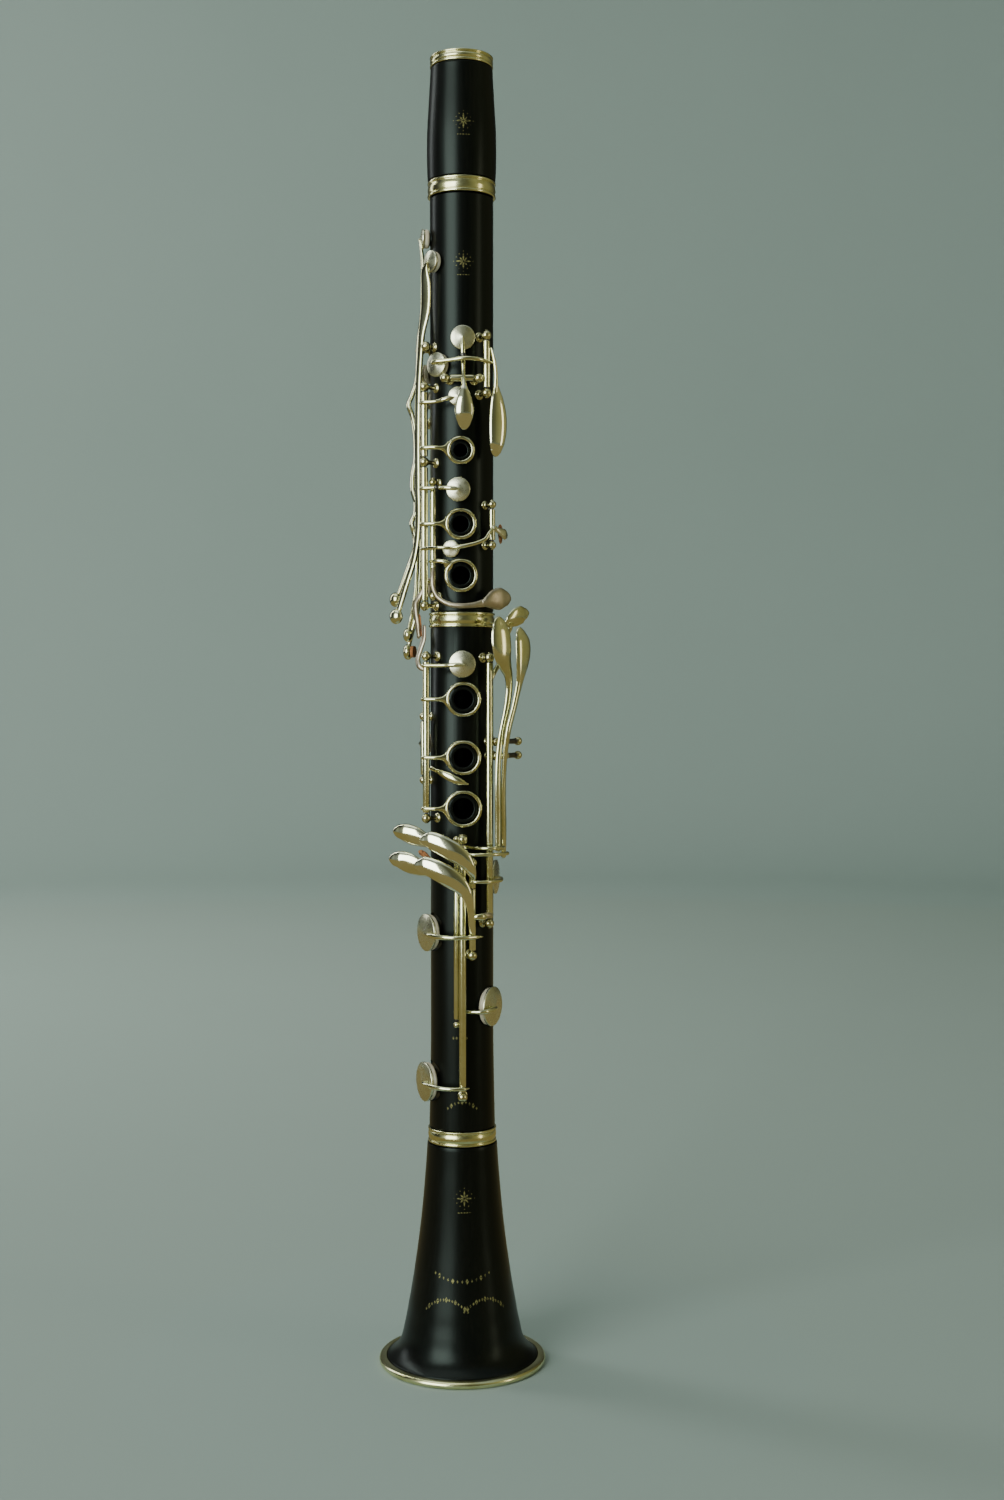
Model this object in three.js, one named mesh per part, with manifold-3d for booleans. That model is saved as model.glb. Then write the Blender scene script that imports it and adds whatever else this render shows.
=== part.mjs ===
// Boehm-system clarinet without its mouthpiece: bell, lower joint, upper joint and barrel,
// with the keywork on ball posts. Millimetres, +Z up the bore, front (finger holes) towards -Y.
// The origin is the centre of the bell rim's bottom plane, on the bore axis.
//
// A place on the body is given by phi (degrees round the bore, from the front towards +X),
// r (distance from the bore axis) and z.

import * as THREE from 'three';
import { mergeVertices } from 'three/addons/utils/BufferGeometryUtils.js';
import Module from 'manifold-3d';

const wasm = await Module();
wasm.setup();
const { Manifold } = wasm;

// ---------------------------------------------------------------- driving dimensions
const GAP = 0.3; // clearance between neighbouring pieces
const BORE_R = 7.4;
const WOOD_R = 14.3; // outside of both joints
const FLARE_R = 15; // foot of the lower joint
const FLARE_TOP = 150;
const TENON_R = 11.3;
const GROOVE_R = 10.1; // floor of the cork groove in a tenon
const CORK_R = 12.3;
const CORK_EDGE = 2.7; // shoulder beside the groove
const SOCKET_R = 12.6;
const SOCKET_WALL_R = 13.9; // wood left inside a socket ring
const TENON_LENGTH = 17;

const BELL_TOP = 108.8;
const LOWER_TOP = 343.4;
const UPPER_TOP = 530;
const BARREL_TOP = 592.9;
const BELL_RING_H = 6.8;
const MIDDLE_RING_H = 6.7;
const BARREL_RING_H = 7;
const BARREL_TOP_RING_H = 4.9;
const BARREL_NECK_R = 12.95; // wood inside the barrel's top ring
const MOUTHPIECE_SOCKET_R = 11.3;
const MOUTHPIECE_SOCKET_DEPTH = 15;
const RIM_R = 38.35;
const RIM_H = 3.4;

const BALL_R = 2.2; // heads of the posts
const SMALL_BALL_R = 1.9;
const NECK_R = 1.1;
const FOOT_R = 2.1;
const FOOT_H = 0.7;
const SHANK_DEPTH = 4; // threaded end of a post, in the wood
const PIN_R = 0.75; // pivot rods
const TUBE_R = 1.6; // hinge tubes of the keys
const SLIM_TUBE_R = 1.4;
const TUBE_BORE_R = 1.12;
const ARM_R = 1.05;
const SLIM_ARM_R = 0.92;

const PAD_GAP = 0.4; // closed pad above the wood
const PAD_H = 2.2;
const CUP_RIM_H = 0.8;
const CUP_CONE_H = 0.8;
const CUP_SEAT = PAD_GAP + PAD_H + GAP; // underside of a closed cup above the wood
const CUP_TOP = CUP_SEAT + CUP_RIM_H + CUP_CONE_H;
const SEAT_DEPTH = 1.9; // flat milled into the wood under a large pad
const RING_H = 1.4;
const RING_SEAT = 16; // underside of a finger ring at rest, from the bore axis
const CHIMNEY_TOP = 15.7; // top of a ringed tone hole's chimney
const REGISTER_SEAT = 16.8; // top of the register tube

const THUMB_Z = 427; // heights of the two holes at the back
const REGISTER_Z = 480;
const SIDE_H = 17.9; // cross pins of the long side levers, from the bore axis
const TRILL_PHI = -76;
const TRILL_Z = 462;
const SIDE_PHI = -111;
const SIDE_Z = 430;
const LEVER_PHI = 51; // long levers for the left little finger
const LEVER_H = 19.2;
const F_SHARP_LEVER_Z = 285.1;
const E_B_LEVER_Z = 278.7;
const F_C_LEVER_Z = 207.3; // where the third one meets its key
const F_SHARP_PAD_PHI = 62; // pads of the right little-finger keys
const F_C_PAD_PHI = -69;
const E_B_PAD_PHI = -73;
const A_FLAT_PAD_PHI = 78;
const THUMB_REST_Z = 276;
const THUMB_REST_W = 12;

const RING_TRAVEL = 4.5; // degrees, ring keys from open to closed
const PAD_TRAVEL = 7.5; // degrees, the open-standing little-finger keys

const SILVER = { color: 0xcfc9a6, roughness: 0.28, metalness: 1 };
const WOOD = { color: 0x15130f, roughness: 0.45, metalness: 0 };
const CORK = { color: 0xb98452, roughness: 0.9, metalness: 0 };
const PAD = { color: 0xe6dcc4, roughness: 0.8, metalness: 0 };

// ---------------------------------------------------------------- places and directions
const rad = THREE.MathUtils.degToRad;
const xyz = (x, y, z) => new THREE.Vector3(x, y, z);
const UP = xyz(0, 0, 1);
const outward = (phi) => xyz(Math.sin(rad(phi)), -Math.cos(rad(phi)), 0);
const around = (phi) => xyz(Math.cos(rad(phi)), Math.sin(rad(phi)), 0);
const polar = (phi, r, z) => outward(phi).multiplyScalar(r).setZ(z);

// Outside radius of the wood at a height, with the flare at the foot of the lower joint.
const flared = (z) => Math.max(0, (FLARE_TOP - z) / (FLARE_TOP - BELL_TOP));
const woodR = (z) => WOOD_R + (FLARE_R - WOOD_R) * flared(z);

// Top of a closed pad cup, a little way in, where its arm ends.
const onCup = (phi, z, sunk = 0) => polar(phi, woodR(z) + CUP_TOP - 0.2 - sunk, z);

// A point in the flat frame that stands on the body at phi: t sideways, h out from the bore axis.
const flat = (phi, t, h, z) => outward(phi).multiplyScalar(h).addScaledVector(around(phi), t).setZ(z);

// Rails: upright hinge lines along the body.
const RING_RAIL = (z) => polar(-52.7, 21, z);
const INNER_RAIL = (z) => polar(-45.5, 17.9, z);
const LOWER_RAIL = (z) => polar(-49.6, 21, z);
const E_B_ROD = (z) => polar(0.6, 19.5, z);
const F_SHARP_ROD = (z) => polar(-8.3, 16.6, z);
const F_C_ROD = (z) => polar(13.4, 19.5, z);

// ---------------------------------------------------------------- solids
const group = new THREE.Group();

function add(name, part, look) {
  const { vertProperties, triVerts } = part.getMesh();
  const geometry = new THREE.BufferGeometry();
  geometry.setAttribute('position', new THREE.BufferAttribute(vertProperties, 3));
  geometry.setIndex(new THREE.BufferAttribute(triVerts, 1));
  const mesh = new THREE.Mesh(geometry, new THREE.MeshStandardMaterial(look));
  mesh.name = name;
  group.add(mesh);
}

function solid(geometry) {
  geometry.deleteAttribute('normal');
  geometry.deleteAttribute('uv');
  const merged = mergeVertices(geometry, 1e-4);
  return new Manifold(new wasm.Mesh({
    numProp: 3,
    vertProperties: Float32Array.from(merged.attributes.position.array),
    triVerts: Uint32Array.from(merged.index.array),
  }));
}

const union = (...parts) => Manifold.union(parts.flat());

// Turned solid about the Z axis from [radius, height] points.
function turned(profile, sides) {
  const points = profile.map(([r, z]) => new THREE.Vector2(r, z));
  return solid(new THREE.LatheGeometry(points, sides).rotateX(Math.PI / 2));
}

function band(inner, outer, bottom, top, sides) {
  return turned([[inner, bottom], [outer, bottom], [outer, top], [inner, top], [inner, bottom]], sides);
}

// Moves a part built on the Z axis to a place, with Z along a direction.
function placed(part, place, direction) {
  const turnTo = new THREE.Quaternion().setFromUnitVectors(UP, direction.clone().normalize());
  return part.transform(new THREE.Matrix4().compose(place, turnTo, xyz(1, 1, 1)).toArray());
}

function rod(start, end, radius, sides = 6) {
  const body = new THREE.CylinderGeometry(radius, radius, start.distanceTo(end), sides).rotateX(Math.PI / 2);
  return placed(solid(body), start.clone().lerp(end, 0.5), end.clone().sub(start));
}

const ball = (centre, radius) => solid(new THREE.SphereGeometry(radius, 8, 4).translate(...centre.toArray()));

// Round bar along a smooth curve through the points.
function bar(points, radius = ARM_R) {
  const section = new THREE.Shape();
  section.absarc(0, 0, radius, 0, 2 * Math.PI);
  const route = new THREE.CatmullRomCurve3(points, false, 'centripetal');
  const settings = { steps: points.length + 1, extrudePath: route, bevelEnabled: false, curveSegments: 3 };
  return solid(new THREE.ExtrudeGeometry(section, settings));
}

// Long rounded touch: half sizes along its length, across it and through it.
function touch(centre, along, normal, halfLength, halfWidth, halfThickness) {
  const x = along.clone().normalize();
  const y = normal.clone().cross(x).normalize();
  const z = x.clone().cross(y);
  const body = new THREE.SphereGeometry(1, 8, 5).scale(halfLength, halfWidth, halfThickness);
  return solid(body.applyMatrix4(new THREE.Matrix4().makeBasis(x, y, z).setPosition(centre)));
}

// Turns a part about an upright pivot; positive turns its +X side towards +Y.
function swung(part, pivot, degrees) {
  const matrix = new THREE.Matrix4().makeTranslation(pivot.x, pivot.y, 0);
  matrix.multiply(new THREE.Matrix4().makeRotationZ(rad(degrees)));
  matrix.multiply(new THREE.Matrix4().makeTranslation(-pivot.x, -pivot.y, 0));
  return part.transform(matrix.toArray());
}

// ---------------------------------------------------------------- repeated sub-parts
const holes = { upper: [], lower: [] };
const chimneys = { upper: [], lower: [] };

const radialFrom = (centre) => xyz(centre.x, centre.y, 0).normalize();
const onRadius = (centre, r) => radialFrom(centre).multiplyScalar(r).setZ(centre.z);

// Pivot pin between ball posts. Each post is radial, with a foot on the wood and a shank in it.
function hinge(joint, balls, ballRadius = BALL_R) {
  const parts = [rod(balls[0], balls[balls.length - 1], PIN_R)];
  for (const centre of balls) {
    const foot = woodR(centre.z) + GAP;
    const drilled = [onRadius(centre, WOOD_R - SHANK_DEPTH - GAP), onRadius(centre, WOOD_R + 2)];
    parts.push(ball(centre, ballRadius));
    parts.push(rod(onRadius(centre, WOOD_R - SHANK_DEPTH), centre, NECK_R));
    parts.push(rod(onRadius(centre, foot), onRadius(centre, foot + FOOT_H), FOOT_R));
    holes[joint].push(rod(...drilled, NECK_R + GAP));
  }
  return union(parts);
}

// A key: everything soldered to one hinge tube, bored for its pivot pin.
function key(start, end, parts, radius = TUBE_R) {
  const along = end.clone().sub(start).normalize().multiplyScalar(GAP);
  const bore = rod(start.clone().sub(along), end.clone().add(along), TUBE_BORE_R, 8);
  return union(rod(start, end, radius, 8), parts).subtract(bore);
}

function padDisc(phi, z, radius, sunk = 0) {
  const disc = turned([[0, 0], [radius, 0], [radius, PAD_H], [0, PAD_H]], 12);
  return placed(disc, polar(phi, woodR(z) + PAD_GAP - sunk, z), outward(phi));
}

function padCup(phi, z, radius, sunk = 0) {
  const profile = [[0, 0], [radius, 0], [radius, CUP_RIM_H], [0, CUP_RIM_H + CUP_CONE_H]];
  return placed(turned(profile, 12), polar(phi, woodR(z) + CUP_SEAT - sunk, z), outward(phi));
}

// Small cup with its pad set in it, in one piece.
function filledCup(phi, z, radius, seat = WOOD_R + PAD_GAP, padHeight = PAD_H) {
  const rim = padHeight + CUP_RIM_H;
  const profile = [
    [0, 0], [radius - GAP, 0], [radius - GAP, padHeight], [radius, padHeight], [radius, rim],
    [0, rim + CUP_CONE_H],
  ];
  return placed(turned(profile, 10), polar(phi, seat, z), outward(phi));
}

function fingerRing(phi, x, z, inner, outer) {
  const seat = outward(phi).multiplyScalar(RING_SEAT).add(xyz(x, 0, z));
  return placed(band(inner, outer, 0, RING_H, 14), seat, outward(phi));
}

function toneHole(joint, phi, z, radius) {
  holes[joint].push(rod(polar(phi, BORE_R - 2, z), polar(phi, WOOD_R + 4, z), radius, 8));
}

// Flat seat for a large pad, with its tone hole.
function padSeat(phi, z, padRadius, holeRadius) {
  const floor = polar(phi, woodR(z) - SEAT_DEPTH, z);
  holes.lower.push(rod(floor, polar(phi, WOOD_R + 4, z), padRadius + 2 * GAP, 20));
  toneHole('lower', phi, z, holeRadius);
}

// Tone hole inside a finger ring, with the raised chimney that the ring closes round.
function ringedHole(joint, x, z, chimneyRadius, holeRadius) {
  chimneys[joint].push(rod(xyz(x, -11.5, z), xyz(x, -CHIMNEY_TOP, z), chimneyRadius, 12));
  holes[joint].push(rod(xyz(x, -BORE_R + 3, z), xyz(x, -CHIMNEY_TOP - 2, z), holeRadius, 8));
}

// ---------------------------------------------------------------- upper joint keys
function aKey() {
  const z = 446.5;
  const h = 19;
  add('a_key_hinge', hinge('upper', [flat(0, -7.4, h, z), flat(0, 7.6, h, z)]), SILVER);
  const stem = [
    onCup(1.6, 464.7), xyz(0.6, -19.3, 457), xyz(0.7, -19.7, 450), xyz(0.9, -21.4, 445), xyz(1, -23.4, 440),
  ];
  const leaf = touch(xyz(1.1, -23.8, 434.3), UP, outward(0), 10, 4.5, 1.4);
  const parts = [padCup(1.6, 464.7, 5.4), bar(stem), leaf];
  add('a_key', key(flat(0, -4.8, h, z), flat(0, 5, h, z), parts), SILVER);
  add('a_pad', padDisc(1.6, 464.7, 5.1), PAD);
  toneHole('upper', 1.6, 464.7, 2.6);
}

function gSharpKey() {
  const post = (z) => polar(32.6, 20.4, z);
  add('g_sharp_hinge', hinge('upper', [post(440.2), post(465.7)], SMALL_BALL_R), SILVER);
  const arm = [
    xyz(11.8, -18.4, 454), xyz(7, -22.4, 454.2), xyz(0.7, -23.2, 454.2), xyz(-6, -21.4, 453.8),
    onCup(-40, 453.4),
  ];
  const link = [post(452), polar(41, 22.2, 451.5), polar(42, 22.3, 446), polar(42.5, 22.2, 440)];
  const leaf = touch(polar(44, 22.3, 428.8), xyz(-0.06, 0, -1), outward(22), 15.8, 4.2, 1.5);
  const parts = [padCup(-40, 453.4, 5.3), bar(arm), bar(link), leaf];
  add('g_sharp_key', key(post(442.8), post(463.1), parts), SILVER);
  add('g_sharp_pad', padDisc(-40, 453.4, 5), PAD);
  toneHole('upper', -40, 453.4, 2.6);
}

// Arm from a ring rail at the left to the left edge of a finger ring.
function ringArm(rail, z, ringEdge, ringZ = z) {
  const start = rail(z);
  return bar([
    start.clone().add(xyz(0.1, -0.6, 0)), xyz(start.x + 3.6, -16.9, z), xyz(start.x + 6.6, -17.3, z),
    xyz(ringEdge, -16.8, ringZ),
  ]);
}

// Arm from a ring rail over the body to the top of an open cup.
function cupArm(rail, z, cup) {
  const start = rail(z);
  return bar([
    start.clone().add(xyz(0.1, -0.6, 0)), xyz(start.x + 4.6, -17.5, z), xyz(start.x + 10.6, -19.9, z),
    xyz(cup.x, cup.y, cup.z),
  ]);
}

function upperRingKeys() {
  add('upper_ring_hinge', hinge('upper', [RING_RAIL(443.6), RING_RAIL(410.2), RING_RAIL(346.1)]), SILVER);
  const vent = swung(filledCup(-4.5, 438.6, 4.1), RING_RAIL(0), -RING_TRAVEL);
  add('lh1_ring_key', key(RING_RAIL(412.9), RING_RAIL(440.9), [
    fingerRing(0, -0.5, 415.1, 4.65, 6.4), ringArm(RING_RAIL, 416.5, -6, 415.8),
    vent, cupArm(RING_RAIL, 436, xyz(-2, -20.1, 437.6)),
  ]), SILVER);
  ringedHole('upper', -0.5, 415.1, 4, 2.9);
  toneHole('upper', -4.5, 438.6, 2);

  const pad = swung(filledCup(-3.8, 397.5, 5.3), RING_RAIL(0), -RING_TRAVEL);
  const arch = [
    xyz(-16.6, -13.6, 371.5), xyz(-13.6, -18.9, 371.5), xyz(-9.6, -22, 371.5), xyz(-5.6, -22.7, 371.5),
  ];
  const bridge = [
    polar(-53, 21.6, 350.5), polar(-59, 23, 350), polar(-63, 23.4, 347), polar(-62, 23.2, 342),
    polar(-59, 22.3, 332),
  ];
  add('lh2_ring_key', key(RING_RAIL(348.7), RING_RAIL(407.5), [
    fingerRing(0, -0.5, 382.4, 5.45, 7.1), ringArm(RING_RAIL, 382.4, -6.7),
    pad, cupArm(RING_RAIL, 398.5, xyz(-1.9, -20.1, 397.8)),
    bar(arch, SLIM_ARM_R), bar(bridge),
  ]), SILVER);
  ringedHole('upper', -0.5, 382.4, 4.8, 3.6);
  toneHole('upper', -3.8, 397.5, 2.6);
}

function thirdRingAndCSharp() {
  add('lh3_hinge', hinge('upper', [INNER_RAIL(401.1), INNER_RAIL(350.4)], SMALL_BALL_R), SILVER);
  const ringArmPath = [
    xyz(-12.8, -13.6, 365.4), xyz(-9.8, -16, 365.2), xyz(-7.6, -16.8, 364.4), xyz(-5.9, -16.8, 363),
  ];
  add('lh3_ring_key', key(INNER_RAIL(364.6), INNER_RAIL(398.8), [
    fingerRing(0, -0.4, 359.5, 5.9, 7.5), bar(ringArmPath),
  ], SLIM_TUBE_R), SILVER);
  ringedHole('upper', -0.4, 359.5, 5.2, 4);

  const sweep = [
    xyz(-12.7, -13.7, 362), xyz(-12.9, -15.7, 358), xyz(-12.4, -16.4, 353.4), xyz(-10.2, -16.9, 349.4),
    xyz(-5.9, -17.9, 346.7), xyz(-0.4, -18.6, 346.1), xyz(5.5, -18.1, 346.5), xyz(10.6, -16.2, 347.3),
    xyz(13.6, -14.6, 348),
  ];
  const padArm = [INNER_RAIL(357), polar(-58, 17.3, 357), polar(-70, 17.9, 356), onCup(-80, 355)];
  const button = touch(xyz(15.6, -13.2, 348.6), around(48).setZ(0.1), outward(48), 6.4, 4.8, 1.4);
  add('c_sharp_key', key(INNER_RAIL(353.1), INNER_RAIL(364.1), [
    bar(sweep), button, bar(padArm, SLIM_ARM_R), filledCup(-80, 355, 4.6),
  ], SLIM_TUBE_R), SILVER);
  toneHole('upper', -80, 355, 2.4);
}

function sliverKey() {
  const post = (z) => polar(45.5, 18.9, z);
  add('e_flat_sliver_hinge', hinge('upper', [post(391.3), post(373.2)], SMALL_BALL_R), SILVER);
  const arm = [
    post(379.6).add(xyz(-0.2, -0.8, 0)), xyz(11.6, -16.9, 377), xyz(8.4, -18, 374.3), xyz(2.2, -18.6, 372.5),
    xyz(-5.3, -17.3, 371.3),
  ];
  const tail = [post(379.6), xyz(16, -12.6, 379), xyz(18.4, -10.4, 378.4)];
  const button = touch(polar(62, 21.6, 378.2), around(62), outward(62), 3, 2.6, 1);
  add('e_flat_sliver_key', key(post(375.6), post(388.9), [
    filledCup(-17, 371.3, 3.75, WOOD_R + PAD_GAP, 1.4), bar(arm, SLIM_ARM_R), bar(tail, SLIM_ARM_R), button,
  ], SLIM_TUBE_R), SILVER);
  toneHole('upper', -17, 371.3, 1.8);
}

// ---------------------------------------------------------------- keys at the back of the upper joint
function registerKey() {
  const z = 457;
  const h = 18.4;
  add('register_hinge', hinge('upper', [flat(180, -6.2, h, z), flat(180, 6.2, h, z)]), SILVER);
  const stem = [
    flat(180, 0, 20.6, 480), flat(180, 0, 20.3, 466), flat(180, 0, 20.2, 457), flat(180, 0, 21.8, 450),
  ];
  add('register_key', key(flat(180, -3.6, h, z), flat(180, 3.6, h, z), [
    filledCup(180, REGISTER_Z, 4.2, REGISTER_SEAT + PAD_GAP, 1.6), bar(stem),
    touch(flat(180, 0, 22.2, 443), UP, outward(180), 9, 4.2, 1.3),
  ]), SILVER);
  const tube = band(1.3, 2.4, BORE_R - 1, REGISTER_SEAT, 10);
  add('register_tube', placed(tube, xyz(0, 0, REGISTER_Z), outward(180)), SILVER);
  toneHole('upper', 180, REGISTER_Z, 3);
}

function thumbRingKey() {
  const post = (z) => polar(-142, 18.5, z);
  add('thumb_ring_hinge', hinge('upper', [post(405), post(433)], SMALL_BALL_R), SILVER);
  const arm = [post(THUMB_Z), xyz(-9.4, 16.7, THUMB_Z), xyz(-6.9, 16.7, THUMB_Z)];
  add('thumb_ring_key', key(post(407.8), post(430.2), [
    fingerRing(180, 0, THUMB_Z, 6, 7.7), bar(arm),
  ], SLIM_TUBE_R), SILVER);
  const tube = band(3.7, 4.7, BORE_R + 1, CHIMNEY_TOP, 14);
  add('thumb_tube', placed(tube, xyz(0, 0, THUMB_Z), outward(180)), SILVER);
  toneHole('upper', 180, THUMB_Z, 5.5);
}

// A long lever on a cross pin at the side: t, h, z points in the flat frame at phi.
function sideLever(name, phi, points, cup, button, tubeT) {
  const z = button.pivotZ;
  const path = [onCup(cup.phi, cup.z), ...points.map(([t, out, up]) => flat(phi, t, out, up))];
  const [t, out, up] = button.at;
  add(name, key(flat(phi, tubeT, SIDE_H, z), flat(phi, tubeT + 3.2, SIDE_H, z), [
    bar(path), filledCup(cup.phi, cup.z, cup.radius),
    touch(flat(phi, t, out, up), UP, outward(phi), button.radius, button.radius, 2.2),
  ], SLIM_TUBE_R), SILVER);
  toneHole('upper', cup.phi, cup.z, cup.radius / 2);
}

function sideKeys() {
  const pins = (phi, t, z) => [flat(phi, -t, SIDE_H, z), flat(phi, t, SIDE_H, z)];
  add('trill_hinge', hinge('upper', pins(TRILL_PHI, 5.9, TRILL_Z)), SILVER);
  sideLever('trill_key_1', TRILL_PHI, [
    [-2.2, 19.2, 503], [-2.1, 19, 480], [-2.1, 19.4, 462], [-2.1, 20.2, 448], [-2.4, 23.3, 438],
    [-2.4, 21.4, 429], [-2.4, 20.8, 415], [-2.4, 22.3, 404], [-2.4, 21, 394], [-2.4, 22.2, 385],
    [-2.2, 21.3, 377], [-2.4, 23.4, 367], [-3, 27, 356], [-3.2, 29, 350],
  ], { phi: -84, z: 511.6, radius: 4.3 }, { pivotZ: TRILL_Z, at: [-3.2, 30.2, 349.2], radius: 3.2 }, -3.5);
  sideLever('trill_key_2', TRILL_PHI, [
    [5.4, 18.7, 493], [2.4, 18.8, 484], [2.1, 19.4, 462], [2.1, 20.4, 446], [2, 20.8, 425], [2, 20.8, 380],
    [2, 22.6, 367], [1.8, 26.8, 354], [1.2, 29.6, 344],
  ], { phi: -53, z: 499.6, radius: 4.85 }, { pivotZ: TRILL_Z, at: [0.9, 30.7, 341.4], radius: 3.2 }, 0.3);

  add('side_key_hinge', hinge('upper', pins(SIDE_PHI, 5.5, SIDE_Z), SMALL_BALL_R), SILVER);
  sideLever('side_key_3', SIDE_PHI, [
    [2.1, 19, 444], [2.1, 19.4, 430], [2.1, 19.6, 415], [2.1, 20.4, 395], [2.1, 20.8, 370],
    [2.8, 21.6, 352], [5.4, 23, 338], [6.1, 23.6, 334.5],
  ], { phi: -108, z: 452, radius: 4.5 }, { pivotZ: SIDE_Z, at: [6.3, 23.8, 333.4], radius: 3.2 }, 0.3);
  sideLever('side_key_4', SIDE_PHI, [
    [-3, 18.9, 433], [-2.1, 19.6, 415], [-2.1, 20.4, 395], [-2.1, 20.8, 365], [-1.5, 22, 345],
    [0.8, 24.6, 331], [1.9, 25.3, 328],
  ], { phi: -129, z: 441, radius: 4.2 }, { pivotZ: SIDE_Z, at: [2.2, 25.6, 325.9], radius: 3.8 }, -3.5);
}

// ---------------------------------------------------------------- lower joint keys
function lowerRingKeys() {
  add('lower_ring_hinge', hinge('lower', [LOWER_RAIL(323.5), LOWER_RAIL(250.8)]), SILVER);
  const rings = [[304.2, 6.4, 7.9, 4.1], [278.1, 6.4, 7.9, 4.1], [255.2, 6.85, 8.35, 4.4]];
  const parts = rings.flatMap(([z, inner, outer, hole]) => {
    ringedHole('lower', 0.6, z, inner - 0.65, hole);
    return [fingerRing(0, 0.6, z, inner, outer), ringArm(LOWER_RAIL, z, 0.6 - inner - 0.7)];
  });
  const bridge = [
    polar(-51, 21.7, 318.4), polar(-57, 22.9, 318.6), polar(-60.5, 22.8, 322), polar(-60, 21.2, 327),
    polar(-58, 19.5, 332), polar(-58, 19.3, 337),
  ];
  const cup = swung(padCup(1.6, 319.9, 5.9), LOWER_RAIL(0), -RING_TRAVEL);
  add('rh_ring_key', key(LOWER_RAIL(253.6), LOWER_RAIL(320.7), [
    ...parts, cup, cupArm(LOWER_RAIL, 319.4, xyz(0, -20.1, 319.9)), bar(bridge),
  ]), SILVER);
  add('rh_ring_pad', swung(padDisc(1.6, 319.9, 5.6), LOWER_RAIL(0), -RING_TRAVEL), PAD);
  toneHole('lower', 1.6, 319.9, 3);
}

function bSliverKey() {
  const post = (z) => polar(-75, 18, z);
  add('b_sliver_hinge', hinge('lower', [post(267.6), post(296.5)], SMALL_BALL_R), SILVER);
  const arm = [
    post(273), polar(-62, 17, 272.6), polar(-50, 16.9, 272), polar(-36, 17.3, 270.8), polar(-20, 17.9, 269.2),
  ];
  const spoon = touch(xyz(-3.2, -18.2, 268), around(-8).setZ(-0.36), outward(-8), 5.2, 1.6, 1);
  const padArm = [post(284), polar(-92, 18.5, 284), onCup(-115, 284)];
  add('b_sliver_key', key(post(270.2), post(293.9), [
    bar(arm, SLIM_ARM_R), spoon, bar(padArm, SLIM_ARM_R), filledCup(-115, 284, 4.5),
  ], SLIM_TUBE_R), SILVER);
  toneHole('lower', -115, 284, 2.4);
}

// Long levers for the left little finger, on two cross pins at the right.
function leftHandLever(name, z, points, lug, blade) {
  const local = ([t, h, up]) => flat(LEVER_PHI, t, h, up);
  add(name, key(local([2.8, LEVER_H, z]), local([7.5, LEVER_H, z]), [
    bar(points.map(local)), bar(lug.map(local), SLIM_ARM_R),
    touch(local(blade.at), xyz(...blade.along), outward(blade.phi), blade.halfLength, 4.5, 1.4),
  ]), SILVER);
}

function leftHandLevers() {
  const pins = (z) => [flat(LEVER_PHI, 0.3, LEVER_H, z), flat(LEVER_PHI, 16.8, LEVER_H, z)];
  add('f_sharp_lever_hinge', hinge('lower', pins(F_SHARP_LEVER_Z), SMALL_BALL_R), SILVER);
  add('e_b_lever_hinge', hinge('lower', pins(E_B_LEVER_Z), SMALL_BALL_R), SILVER);
  leftHandLever('lh_f_sharp_lever', F_SHARP_LEVER_Z, [
    [-1.1, 21.6, 236.8], [-1.4, 22, 250], [-2.4, 22.6, 268], [-2.1, 22.6, 278], [-0.9, 22.6, 285],
    [0.6, 22.9, 291],
    [2.2, 24, 302], [2.9, 24.5, 312], [1.2, 24.7, 319],
  ], [[4.2, 20.2, 285.1], [3, 21.9, 285.1], [0.9, 22.6, 285.1], [-0.9, 22.6, 285.1]],
  { at: [-1.8, 24.6, 327.6], along: [-0.05, 0, 1], phi: 30, halfLength: 12.6 });
  leftHandLever('lh_e_b_lever', E_B_LEVER_Z, [
    [3.4, 21.2, 233.6], [2.6, 22, 245], [1.2, 22.8, 262], [0.6, 23.7, 274], [0.4, 25.2, 285], [0.8, 26, 291],
    [4.2, 26.7, 302], [6.2, 28, 312], [7.2, 28.7, 318],
  ], [[4.4, 20.2, 278.7], [3.6, 22.2, 278.7], [1.8, 23.8, 278.7], [0.6, 24.3, 278.7]],
  { at: [7.4, 29, 323.4], along: [-0.12, 0.04, 1], phi: 45, halfLength: 11.2 });
}

function leftFCLever() {
  const post = (z) => polar(40, 19, z);
  add('lh_f_c_hinge', hinge('lower', [post(322.9), post(203.5)]), SILVER);
  const stem = [
    xyz(12.6, -14.2, 314), xyz(16.2, -11.6, 318.5), xyz(18.2, -8.8, 325), xyz(20.2, -8, 332),
    xyz(22.8, -8.6, 338.5),
  ];
  const finger = [xyz(12.4, -16, F_C_LEVER_Z), xyz(10.6, -18.2, F_C_LEVER_Z), xyz(7.4, -18.9, F_C_LEVER_Z)];
  const button = touch(xyz(24.4, -9, 341.1), around(55).setZ(0.35), outward(55), 5.5, 4.2, 1.3);
  add('lh_f_c_lever', key(post(206), post(320.3), [bar(stem), bar(finger, SLIM_ARM_R), button]), SILVER);
}

// ---------------------------------------------------------------- right little finger keys
function littleFingerHinges() {
  const eB = hinge('lower', [E_B_ROD(241.6), E_B_ROD(125.9)]);
  const fSharp = hinge('lower', [F_SHARP_ROD(241.6), F_SHARP_ROD(158)], TUBE_R);
  const web = rod(E_B_ROD(241.6), F_SHARP_ROD(241.6), NECK_R);
  add('e_b_f_sharp_hinge', union(eB, fSharp, web), SILVER);
  add('f_c_hinge', hinge('lower', [F_C_ROD(231.2), F_C_ROD(189.6)]), SILVER);
}

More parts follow.
